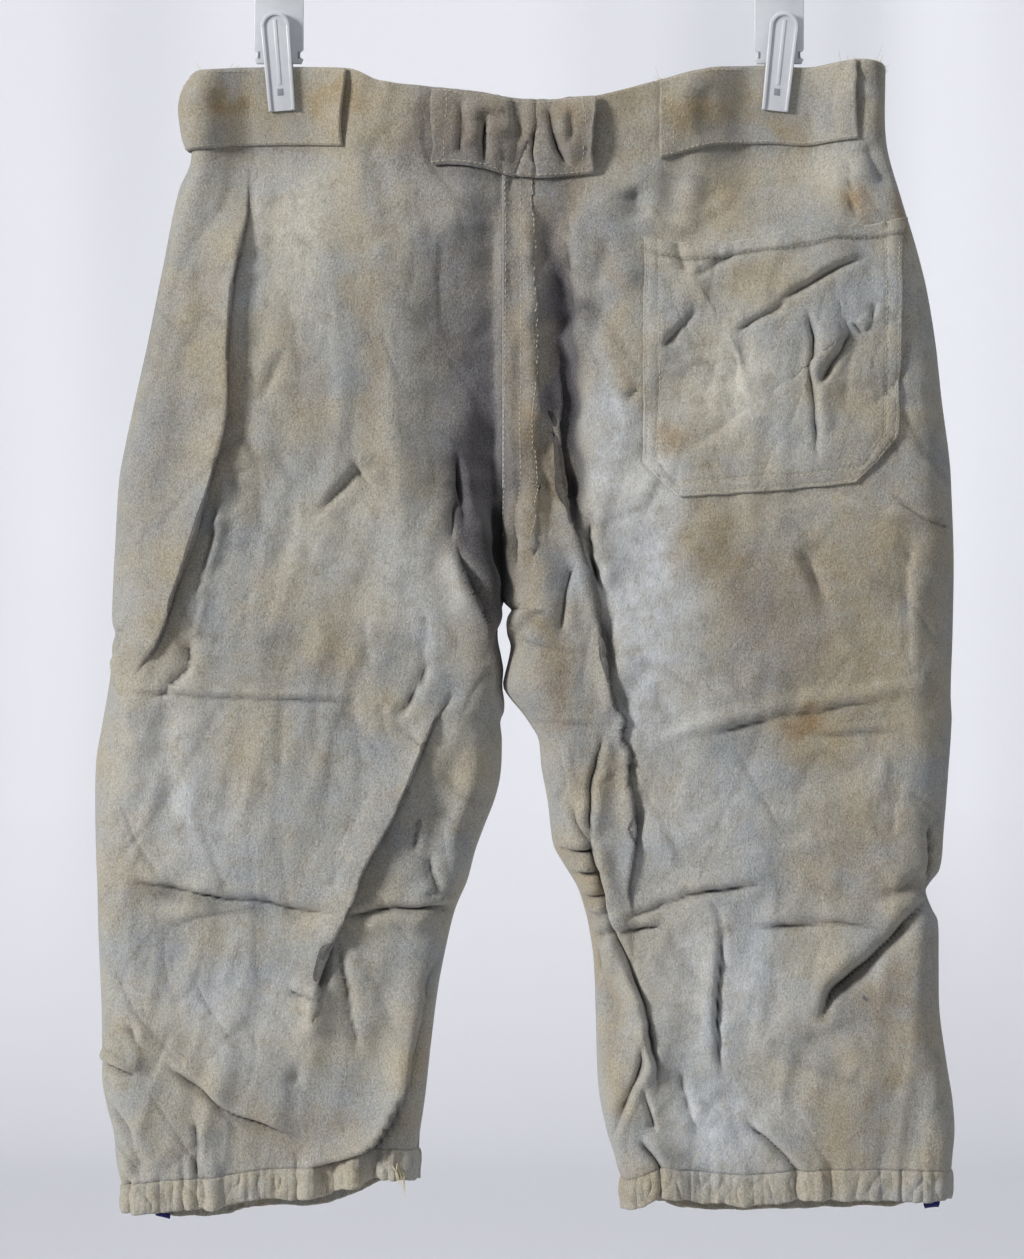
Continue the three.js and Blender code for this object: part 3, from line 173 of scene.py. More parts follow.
BACK_LEFT_FOLDS = read_folds("""
trough 4 10 1 494,170 497,330 496,480 492,560
ridge 4 22 1 452,150 474,212 482,250
trough 1.5 18 1 425,200 440,330 446,460
ridge 6 9 1 474,500 480,560 487,620 492,660
trough 6 6 1 500,500 502,560 503,615
trough 2.5 10 1 348,137 377,157 395,240 409,262
step 8 18 -1 455,540 457,560 469,596 478,621 484,649 490,672 496,700
crease 3.4 3.5 1 456,450 459,470 462,500 467,532
crease 2.5 3.5 1 458,500 454,520 455,545
step 3.6 14 1 223,478 224,537 214,559 203,603 199,653
crease 4 4 1 199,640 193,668 181,682 164,699
ridge 1.6 3 1 235,236 233,262
crease 3 3.5 1 114,632 126,638 124,652 112,670
crease 1.4 3 1 114,626 134,628
ridge 1.4 5 1 128,640 122,664 116,690
trough 1.6 7 1 275,160 279,232
crease 0.9 4 1 284,170 292,190 308,212
crease 1.3 5 -1 284,344 276,370 258,404
crease 1 4 1 230,476 257,471
crease 1.6 5 1 312,518 342,490 366,466
crease 1 3.5 1 352,462 366,478 372,494
crease 1.2 4 1 366,612 367,640 373,674
crease 1.2 4 1 426,600 430,640 420,668
crease 1.9 4 1 432,655 421,684 410,706 396,720
crease 1.7 3.5 1 382,700 385,720 392,734
crease 1.4 3.5 1 410,728 424,745
crease 1.4 4 -1 436,718 450,704 458,692
press 2 3.2 1 110,690 160,690 213,696 293,699 372,700
crease 4 3.4 1 120,875 190,886 240,894 290,901 344,910
trough 3.4 6 1 129,886 190,894 240,902 332,914
crease 2 3.5 1 170,922 200,916 227,909 282,905
trough 1.6 14 1 205,905 285,913
crease 5 3.4 1 340,911 374,907 401,903 433,901 464,907
ridge 2 6 1 352,924 400,918 440,914
crease 1.8 4.2 1 420,815 417,835 415,853
crease 2.2 4.2 1 432,850 438,873 441,892
crease 2 3 1 423,889 432,889 442,888
trough 2.6 5 1 486,800 464,830 450,858
trough 3 12 1 464,735 444,800 425,870
trough 4.5 5 1 331,934 328,960 322,990
crease 2 3 1 292,983 308,989 323,991
crease 2.4 5 1 340,925 352,975 355,1010 362,1060
ridge 3.5 10 1 331,966 320,1003 309,1050 296,1083
trough 2 16 1 372,950 385,1030 372,1090
trough 1.8 6 1 318,1020 302,1060 290,1090
step 3 22 -1 449,925 437,960 429,990 419,1026 411,1066 404,1094 388,1124 366,1149 338,1164 304,1170
crease 3.4 4 1 98,1054 120,1062 146,1074
crease 4 4.6 -1 416,1050 404,1094 388,1124 366,1149 338,1164 290,1172
crease 3 4.4 -1 452,915 437,960 429,990 419,1026 411,1066 402,1100
press 5 3 -1 418,1040 404,1094 388,1124 366,1149 338,1164 286,1173
crease 4 4 1 166,1052 192,1076 209,1088 232,1106 267,1119 318,1140
crease 3 4.5 1 202,1112 202,1149 205,1178
trough 4 5 1 104,1094 118,1112 134,1134 142,1160 146,1180
crease 3 4 1 134,1172 138,1190 136,1208
crease 1.6 5 1 137,1020 141,1036 149,1048
trough 1.4 7 1 122,925 126,960 130,1000
trough 2 9 1 176,700 170,760 176,830
trough 1.6 12 1 232,720 236,790 226,860
""")
BACK_RIGHT_FOLDS = read_folds("""
trough 6.5 9 1 548,190 557,290 563,370 566,440 572,500 584,560
ridge 3 6 1 528,190 531,300 534,400 536,480
crease 2.2 4 1 572,196 569,232 570,300 571,360
crease 5 3.5 1 592,508 588,530 594,556 600,575 601,594
crease 4 4 1 576,562 569,585 566,610 561,634
trough 5 6 1 598,600 606,650 612,690 626,728
trough 4 4 1 629,745 634,800 636,856
step 3 16 -1 548,606 540,614 529,624 514,634
ridge 6 12 1 528,400 532,520 540,570 546,610 540,650
crease 4 3.5 1 521,470 520,500 519,550 521,575
crease 6.5 3.2 1 604,720 596,768 591,799 589,826 593,856 603,880 608,915 624,950
crease 6 3.2 -1 604,915 616,935 630,965 640,1000 648,1040 658,1094
crease 4.4 3.6 1 556,843 574,848 596,842
crease 4.4 3.6 1 564,866 580,870 602,864
crease 4.2 3.6 1 574,886 588,893 608,888
crease 4.2 3.6 1 584,906 596,912 612,906
crease 4.2 3.6 1 590,926 602,930 618,924
crease 3 3.6 1 596,940 602,952 600,970
press 1.8 2.6 1 524,636 540,643 562,649 588,650
press 1.2 2.6 1 535,721 560,722 600,725
crease 2 4 1 572,800 578,822 590,838
ridge 2.2 4.5 1 634,756 650,742 672,731 702,723 735,716 783,705 831,697 904,687 949,692
crease 1.5 3.5 1 690,735 745,722 831,704 900,695
press 1.3 3 1 800,733 850,730 901,729
trough 2.2 5 1 797,541 808,572 818,600 828,622
crease 1.1 3 1 906,521 901,592 905,640 906,684
crease 1.6 3 1 890,494 904,511 918,520 949,524
ridge 1.4 4 1 799,500 863,512 926,522 950,530
crease 3.6 3.5 1 928,815 931,845 933,862 926,884 923,898
ridge 1.2 3 1 880,750 875,800
crease 1.1 3 1 894,776 889,838
trough 2.2 4 1 873,894 900,885 926,870
crease 2.6 2.6 1 611,925 632,926 663,919
crease 3 3.2 1 606,926 650,905 675,895 703,887 770,880
crease 2.6 3.6 1 740,924 800,918 845,917 894,924
crease 4 3 -1 700,892 714,910 720,935 716,975 713,1010 719,1080
crease 6 4.5 -1 930,892 896,922 873,946 846,973 824,993 812,1030
trough 4 9 1 923,900 896,928 846,978 812,1010
trough 2 12 1 818,1020 830,1050 850,1070
crease 4.6 3.5 1 643,1030 642,1068 628,1094 617,1115 611,1150
crease 3 3.5 1 643,1078 646,1102 653,1130
crease 3.6 3.5 1 635,1130 653,1156 672,1174 682,1194
crease 2 4 1 684,1060 686,1105 700,1131
crease 1.2 4 1 698,1092 724,1109
crease 3.6 4 1 744,1112 779,1147 801,1169 814,1190
trough 2.4 7 1 600,960 612,1040 606,1100
trough 3.2 5 -1 604,236 604,264 585,296
trough 3 7 1 629,190 640,224
ridge 2 8 1 600,186 616,250 640,300
crease 3.2 4 1 846,160 850,195 855,230
trough 3 6 1 863,140 872,165 889,194
trough 3 10 -1 722,180 708,205 700,235
trough 2 8 1 676,170 672,200 664,230
crease 1.1 3 -1 637,390 622,405
trough 1.6 10 1 610,330 606,420 612,500
trough 1.4 16 1 700,560 716,640 760,680
trough 1.6 18 1 770,780 790,850
""")
FRONT_LEFT_FOLDS = read_folds("""
trough 7 26 1 437,206 452,360 467,530
trough 6 16 1 467,576 410,690 344,791
ridge 5 30 1 298,206 280,430 275,652
trough 5 12 1 137,868 260,898 390,906
trough 5 14 1 344,929 320,1030 298,1129
crease 2.5 5 1 230,240 215,400 190,560 150,680
crease 2 4 1 130,700 240,712 370,704
crease 2 5 -1 380,330 330,430 250,500
crease 2.5 5 1 180,1040 250,1110 320,1130
crease 2 4 1 400,760 370,850 350,930
""")
FRONT_RIGHT_FOLDS = read_folds("""
trough 7 26 1 572,206 577,360 581,530
trough 6 16 1 590,591 650,690 698,791
ridge 5 30 1 775,206 795,430 790,652
trough 5 12 1 637,883 770,905 898,911
trough 5 14 1 713,945 700,1040 683,1129
crease 2.5 5 1 850,260 870,420 900,600
crease 2 4 1 620,720 740,716 930,700
crease 2 5 1 640,320 700,420 790,480
crease 2.5 5 -1 920,900 860,960 820,1010
crease 2 4 1 600,760 620,850 630,930
""")
POCKET_FOLDS = read_folds("""
trough 4 3.5 1 676,244 680,258 688,280
crease 1.8 4 1 690,283 712,266 735,258
ridge 2 4 1 684,276 707,315 722,327
ridge 1.2 4 1 722,327 735,365 746,402
crease 2.2 4 1 660,356 664,343 680,326 697,312
crease 2.4 4 1 730,336 745,327 758,320 781,303
crease 2 4 1 770,305 795,292 822,276 862,257
crease 3.6 4 1 800,308 808,330 812,345 809,375 811,400 816,432 818,470
crease 3.4 4 1 813,392 822,370 836,343 846,330
crease 1.8 3 1 873,308 870,326
crease 1.8 3 1 850,326 859,336
trough 2 10 1 700,360 690,420
trough 1.6 12 1 848,380 852,440
""")
TUNNEL_FOLDS = read_folds("""
crease 1.6 4 1 464,100 467,135 463,170
crease 4 4 1 488,118 486,145 487,176
crease 2 3 1 476,128 480,118 489,114 499,122
trough 3 6 1 514,100 518,128 512,150
crease 4 4 1 549,104 556,135 568,176
crease 2.4 3.5 -1 576,110 570,138 562,152
trough 1.6 8 1 535,110 538,165
trough 1.6 7 1 214,90 222,120 218,145
crease 1.2 4 1 233,100 243,122 264,132
trough 1.6 6 1 252,75 256,110 266,146
trough 1.5 7 1 316,84 320,140
trough 1.5 7 1 700,84 706,152
trough 1.7 6 1 742,78 736,146
trough 1.5 6 1 812,80 806,140
crease 1.2 5 1 838,76 832,110 838,140
""")

# Stains, worn places and grime, and painted shade with painted near-black shadow in the shaded hollows beside
# the seat seam and in folds: centre and radii in the photograph's pixels, turned by degrees
Stain = namedtuple("Stain", "kind strength centre radii turn", defaults=(0,))
# The last two kinds are no stains: they are painted shade and painted near-black shadow
STAIN_KINDS = ("tan", "rust", "blue", "light", "dark", "deep")


def read_stains(table):
    """One stain a line: its kind, strength, centre and radii, and its turn if it has one."""
    return [Stain(kind, float(strength), pair(centre), pair(radii), *map(float, turn))
            for kind, strength, centre, radii, *turn in table_rows(table)]


STAINS = read_stains("""
tan 0.45 500,110 380,58
dark 0.3 500,140 110,40
tan 0.5 225,108 24,16
rust 0.5 226,106 17,9 -12
tan 0.4 212,82 10,24
tan 0.45 690,128 22,12
tan 0.5 790,136 22,12
tan 0.5 330,112 24,18
tan 0.4 560,130 22,26
tan 0.3 460,130 22,30
tan 0.45 233,430 14,90 6
tan 0.4 165,600 26,60 20
tan 0.35 215,330 26,110 6
tan 0.4 368,330 14,120 -4
tan 0.3 300,380 20,90 -12
tan 0.35 330,660 60,40
tan 0.3 450,790 26,60 20
tan 0.35 120,880 30,26
tan 0.35 300,1120 90,34 14
tan 0.4 420,1060 16,90 10
tan 0.3 250,760 30,26
tan 0.6 520,400 12,200
tan 0.55 548,590 10,130 -3
rust 0.35 546,690 14,34
tan 0.6 628,372 12,44 -18
tan 0.4 608,290 12,50
tan 0.55 722,208 30,26 -20
rust 0.6 861,200 13,18
rust 0.6 897,206 8,16 -20
tan 0.6 668,446 24,24
rust 0.25 664,450 16,14
tan 0.45 760,290 34,16 -20
tan 0.35 860,420 26,60
tan 0.6 716,545 30,44 -24
tan 0.5 790,590 70,80 -30
tan 0.45 890,560 50,90
tan 0.4 850,700 70,60 -20
rust 0.75 792,726 16,9
rust 0.5 806,702 6,4
tan 0.4 800,740 44,26
tan 0.45 850,850 60,54 -10
tan 0.55 880,1010 56,70 10
tan 0.45 860,1130 60,50
tan 0.5 606,1010 12,110 -6
tan 0.45 580,880 22,50 -30
tan 0.5 650,1176 40,26
tan 0.3 590,760 24,60
blue 0.9 646,560 38,110
blue 0.6 604,430 20,90
blue 0.5 660,690 40,60
blue 0.55 720,980 70,70
blue 0.7 720,1120 66,34 10
blue 0.4 700,820 60,60
blue 0.45 190,780 50,90
blue 0.35 240,1010 70,50
blue 0.35 250,260 14,90
blue 0.35 420,600 40,60
light 0.55 300,260 26,90 -8
light 0.35 440,190 26,40 -20
light 0.6 738,392 34,54
light 0.5 752,250 40,12 -8
light 0.35 830,160 26,34
light 0.35 640,480 30,60
light 0.3 350,540 60,60
dark 0.25 502,340 105,260 -6
dark 0.4 474,390 46,230 -5
dark 0.35 486,490 24,150
deep 1.3 500,572 15,46
deep 0.8 497,515 5,44
deep 0.35 482,560 16,60 -8
dark 0.7 480,540 18,90 -6
deep 0.55 458,500 4,40 -4
deep 0.55 466,584 5,44 -18
dark 0.6 556,290 15,90 -4
dark 0.8 563,400 11,110 -3
deep 0.6 565,440 7,60 -4
deep 0.8 572,510 5,34 -14
dark 0.6 605,670 7,60 -6
dark 0.25 612,240 30,40
tan 0.5 560,230 20,60
tan 0.6 540,420 14,120
dark 0.3 160,420 24,150 6
dark 0.3 770,620 60,70 -30
dark 0.25 400,850 30,50
dark 0.3 862,1000 30,22
dark 0.9 861,995 2.4,2.4 -40
""")

# ---- Numbers ----


def mix(a, b, share):
    return a + (b - a) * share


def smooth(value):
    t = np.clip(value, 0, 1)
    return t * t * (3 - 2 * t)


def quarter_round(value):
    t = 1 - np.clip(value, 0, 1)
    return np.sqrt(1 - t * t)


def curve(at, keys, values):
    """A smooth curve through the values, level beyond its ends."""
    keys = np.asarray(keys, float)
    values = np.asarray(values, float)
    ends = np.arange(len(keys))
    after = np.minimum(ends + 1, len(keys) - 1)
    before = np.maximum(ends - 1, 0)
    slopes = (values[after] - values[before]) / (keys[after] - keys[before])
    at = np.clip(at, keys[0], keys[-1])
    i = np.clip(np.searchsorted(keys, at, side="right") - 1, 0, len(keys) - 2)
    span = keys[i + 1] - keys[i]
    t = (at - keys[i]) / span
    rest = 1 - t
    ends = values[i] * (1 + 2 * t) * rest**2 + values[i + 1] * (3 - 2 * t) * t**2
    return ends + slopes[i] * span * t * rest**2 - slopes[i + 1] * span * rest * t**2


def noise(u, v, wave, seed):
    """Smooth lumps between about -1 and 1, one wave wide, the same for the same seed."""
    size = 64
    draw = np.random.default_rng(SEED + seed)
    lattice = draw.uniform(-1, 1, (size, size))
    turn = draw.uniform(0.2, 1.3)
    shift = draw.uniform(0, 1000, 2)
    a = (u * math.cos(turn) - v * math.sin(turn)) / wave + shift[0]
    b = (u * math.sin(turn) + v * math.cos(turn)) / wave + shift[1]
    i = np.floor(a).astype(int)
    j = np.floor(b).astype(int)
    s = smooth(a - i)
    t = smooth(b - j)
    near = mix(lattice[i % size, j % size], lattice[(i + 1) % size, j % size], s)
    far = mix(lattice[i % size, (j + 1) % size], lattice[(i + 1) % size, (j + 1) % size], s)
    return mix(near, far, t) * 1.4


def along_y(path):
    """A path read down the photograph, as (drops, xs)."""
    points = plane(path)
    return points[:, 1], points[:, 0]


def rounded(points):
    """A path with its corners cut twice, its ends kept."""
    for _ in range(2):
        near = points[:-1] * 0.75 + points[1:] * 0.25
        far = points[:-1] * 0.25 + points[1:] * 0.75
        between = np.stack([near, far], 1).reshape(-1, 2)
        points = np.vstack([points[:1], between, points[-1:]])
    return points


# ---- Folds ----

# The share of its length over which a fold fades at each end, and how far each kind is deepened
FOLD_END = 0.26
FOLD_DEEPEN = {"trough": 1.2, "ridge": 1.25, "crease": 1.35, "press": 1.3, "step": 1.2}
STEP_EDGE = 2


def profile(fold, beside):
    """The height of a fold across its path."""
    way = beside / fold.reach
    raised = way * fold.side
    if fold.kind == "trough":
        return -np.exp(-way**2)
    if fold.kind == "ridge":
        return np.exp(-way**2)
    if fold.kind == "crease":
        groove = np.exp(-((raised + 0.35) / 0.62) ** 2)
        crest = np.exp(-((raised - 0.9) / np.where(raised > 0.9, 2.4, 0.75)) ** 2)
        return 0.55 * crest - 0.75 * groove
    if fold.kind == "press":
        return 0.6 * np.exp(-((raised - 0.8) / 0.9) ** 2) - 0.7 * np.exp(-(way / 0.5) ** 2)
    high = (1 - np.clip(raised, 0, 1)) ** 2
    low = 1 - smooth(-beside * fold.side / STEP_EDGE)
    return np.where(raised > 0, high, low)


def groove_shade(fold, beside):
    """How much painted shade, with some grime, the fold's groove holds, across its path."""
    raised = beside * fold.side
    if fold.kind == "crease":
        return np.exp(-((raised / fold.reach + 0.3) / 0.32) ** 2) * (fold.depth + 0.5) / 5
    if fold.kind == "press":
        return np.exp(-(beside / 1.5) ** 2) * fold.depth / 6
    if fold.kind == "step":
        return np.exp(-((raised + 1.2) / 1.5) ** 2) * fold.depth / 12
    if fold.kind == "trough" and fold.reach < 9:
        return np.exp(-(beside / (0.6 * fold.reach)) ** 2) * fold.depth / 26
    return 0 * beside


def path_place(path, places):
    """How far beside a path each place lies, signed by its side, how far along, and the path's length."""
    steps = np.diff(path, axis=0)
    lengths = np.hypot(*steps.T)
    starts = np.concatenate([[0], np.cumsum(lengths)])
    nearest = np.full(len(places), np.inf)
    beside = np.zeros(len(places))
    along = np.zeros(len(places))
    for start, step, length, way in zip(path, steps, lengths, starts):
        offset = places - start
        t = np.clip(offset @ step / length**2, 0, 1)
        distance = np.hypot(*(offset - t[:, None] * step).T)
        side = np.sign(offset[:, 0] * step[1] - offset[:, 1] * step[0])
        closer = distance < nearest
        nearest = np.where(closer, distance, nearest)
        beside = np.where(closer, side * distance, beside)
        along = np.where(closer, way + t * length, along)
    return beside, along, starts[-1]


def fold_height(fold, x, drop, seed):
    """How far a fold raises the cloth at each place of a grid, and how much painted shade its groove gets."""
    path = rounded(plane(fold.path))
    margin = fold.reach * 3 + 6
    low = path.min(0) - margin
    high = path.max(0) + margin
    near = (x > low[0]) & (x < high[0]) & (drop > low[1]) & (drop < high[1])
    height = np.zeros_like(x)
    shade = np.zeros_like(x)
    if near.any():
        beside, along, whole = path_place(path, np.stack([x[near], drop[near]], -1))
        ends = smooth(along / whole / FOLD_END) * smooth((1 - along / whole) / FOLD_END)
        uneven = 1 + 0.45 * noise(along, np.full_like(along, seed * 31.0), 17, seed)
        height[near] = FOLD_DEEPEN[fold.kind] * (fold.depth + 0.5) * profile(fold, beside) * ends * uneven
        shade[near] = groove_shade(fold, beside) * ends * uneven
    return height, shade


def folds_height(folds, x, drop, seed):
    """The heights and painted groove shades of all the folds, on paths that wander a little."""
    wander_x = x + 1.3 * noise(x, drop, 21, seed) + 0.5 * noise(x, drop, 8, seed + 1)
    wander_drop = drop + 1.3 * noise(x, drop, 21, seed + 2) + 0.5 * noise(x, drop, 8, seed + 3)
    total = np.zeros_like(x)
    dim = np.zeros_like(x)
    for number, fold in enumerate(folds):
        height, shade = fold_height(fold, wander_x, wander_drop, seed + 10 + number)
        total += height
        dim = np.maximum(dim, shade)
    return total, np.clip(dim, 0, 1)


def rumpled(x, drop, seed, amount=1.0):
    """Soft unevenness of worn cloth, from broad waves to small puckers."""
    broad = 1.7 * noise(x, drop * 0.6, 62, seed) + 1.1 * noise(x, drop * 0.8, 30, seed + 1)
    crumpled = 1 - 2 * np.abs(noise(x, drop * 0.7, 38, seed + 4))
    small = 0.42 * noise(x, drop, 13, seed + 2) + 0.18 * noise(x, drop, 6, seed + 3) + 0.7 * crumpled
    where = smooth(0.5 + noise(x, drop, 90, seed + 5))
    hung = 1 - 2 * np.abs(noise(x + 0.2 * drop, drop * 0.2, 17, seed + 6))
    across = 1 - 2 * np.abs(noise(x * 0.22, drop - 0.1 * x, 14, seed + 7))
    return (broad + small + 0.8 * hung * where + 0.55 * across * (1 - where)) * amount


def wrinkles(x, drop, seed):
    """Fine sharp wrinkles where smooth noise passes through nothing, here and there."""
    total = np.zeros_like(x)
    for number, (wave, slant, depth) in enumerate(((46, 0.3, 0.9), (34, -0.5, 0.9), (25, 0.15, 0.6))):
        line = noise(x + slant * drop, drop * 0.45, wave, seed + 40 + number)
        here = smooth(0.4 + 1.5 * noise(x, drop, 38, seed + 50 + number))
        total += depth * here * np.exp(-(line / (3.4 / wave)) ** 2)
    return total


# ---- Leg panels ----

Leg = namedtuple("Leg", "name sign outer inner hem fell")
LEGS = {
    "left": Leg("left", -1, along_y(LEFT_OUTER), along_y(LEFT_INNER), plane(LEFT_HEM).T, 0),
    "right": Leg("right", 1, along_y(RIGHT_OUTER), along_y(RIGHT_INNER), plane(RIGHT_HEM).T, FELL["width"]),
}
WAIST = plane(WAIST_LINE).T
HOLLOW_DROPS, HOLLOW_HALVES, HOLLOW_SEAMS = zip(*HOLLOW)
GATHER = {"wave": 5.6, "rise": 0.9, "reach": 17, "uneven": 11, "seed": 300}


def waist_drop(x):
    return curve(x, *WAIST)


def casing_top(leg, x):
    return curve(x, *leg.hem) - CASING_HEIGHT


def row_drop(leg, x, share):
    return mix(waist_drop(x), casing_top(leg, x), share)


def outer_x(leg, drop):
    return curve(drop, *leg.outer)


def inner_x(leg, drop):
    on_seam = drop < CROTCH_DROP - 1
    return np.where(on_seam, SEAM_X + leg.sign * SEAM_GAP / 2, curve(drop, *leg.inner))


def pressed(x, drop):
    """1 where the clips press the cloth flat, 0 away from them."""
    across = np.abs(np.abs(x) - CLIP_X)
    fade_across = 1 - smooth((across - CLIP_FLAT["across"]) / (CLIP_FADE["across"] - CLIP_FLAT["across"]))
    fade_down = 1 - smooth((drop - CLIP_FLAT["down"]) / (CLIP_FADE["down"] - CLIP_FLAT["down"]))
    return fade_across * fade_down


def spread(count, first, last):
    """Shares from 0 to 1, closer together at the ends that are asked for."""
    steps = np.arange(count)
    weight = np.ones(count)
    if first:
        weight *= mix(first, 1, smooth(steps / 9))
    if last:
        weight *= mix(last, 1, smooth((count - 1 - steps) / 9))
    shares = np.concatenate([[0], np.cumsum(weight)])
    return shares / shares[-1]


def lip_line(lip, drop):
    return curve(drop, *along_y(lip.path))


def grid_columns(leg, share, lips, counts):
    """The X places of every row and column. A column follows each lip down the leg."""
    edges = []
    for edge in (outer_x, inner_x):
        x = np.full_like(share, edge(leg, np.array(0.0)))
        for _ in range(6):
            x = edge(leg, row_drop(leg, x, share))
        edges.append(x)
    outer, inner = edges
    drop = row_drop(leg, mix(outer, inner, 0.5), share)
    stops = [outer, *[lip_line(lip, drop) for lip in lips], inner]
    parts = []
    for number, count in enumerate(counts):
        first = 0.16 if number == 0 else 0.26
        last = 0.16 if number == len(counts) - 1 else 0.26
        shares = spread(count, first, last)
        if number:
            shares = shares[1:]
        parts.append(mix(stops[number][:, None], stops[number + 1][:, None], shares[None, :]))
    return np.hstack(parts)


def lip_shape(lip, x, drop):
    """How far a lip raises the cloth, how far it slides over its low side, and the painted shade along its
    edge.
    """
    raised = (x - lip_line(lip, drop)) * lip.side
    keys, heights = zip(*lip.heights)
    drops = (np.array(keys) - PHOTO_WAIST) * PIXEL
    height = curve(drop, drops, heights)
    edge = 1 - smooth(-raised / STEP_EDGE)
    up = np.where(raised > 0, (1 - np.clip(raised / lip.reach, 0, 1)) ** 2, edge)
    over = np.where(raised > 0, np.exp(-raised / 7), edge)
    # Painted shade just past the lip's edge, on its low side
    shade = np.exp(-((raised + 1.8) / 2.3) ** 2) * np.clip(height / 4, 0, 1)
    return height * up, -lip.side * lip.overhang * height / max(heights) * over, shade


def gathers(x, seed):
    """Uneven small pleats with sharp valleys across a gathered edge."""
    flat = np.zeros_like(x)
    pleats = np.abs(noise(x, flat, GATHER["wave"], seed)) ** 0.7
    minor = np.abs(noise(x, flat, GATHER["wave"] * 0.62, seed + 2)) ** 0.8
    strength = 0.8 + 0.6 * noise(x, flat, 19, seed + 1)
    return (2 * pleats - 1 + 0.5 * minor) * strength


def grid_normals(points, like, ring=False):
    """Normals of a grid of points, on the side that like points to."""
    if ring:
        across = np.roll(points, -1, 1) - np.roll(points, 1, 1)
    else:
        across = np.gradient(points, axis=1)
    down = np.gradient(points, axis=0)
    normals = np.cross(across, down)
    normals /= np.maximum(np.linalg.norm(normals, axis=-1, keepdims=True), 1e-9)
    return normals if (normals * like).sum() > 0 else -normals


# How far from a panel's outer and inner edge, in millimetres, each of these grows to its full size
FADE = {"lip": (12, 8), "relief": (6, 6), "pleats": 3, "hang": 40}


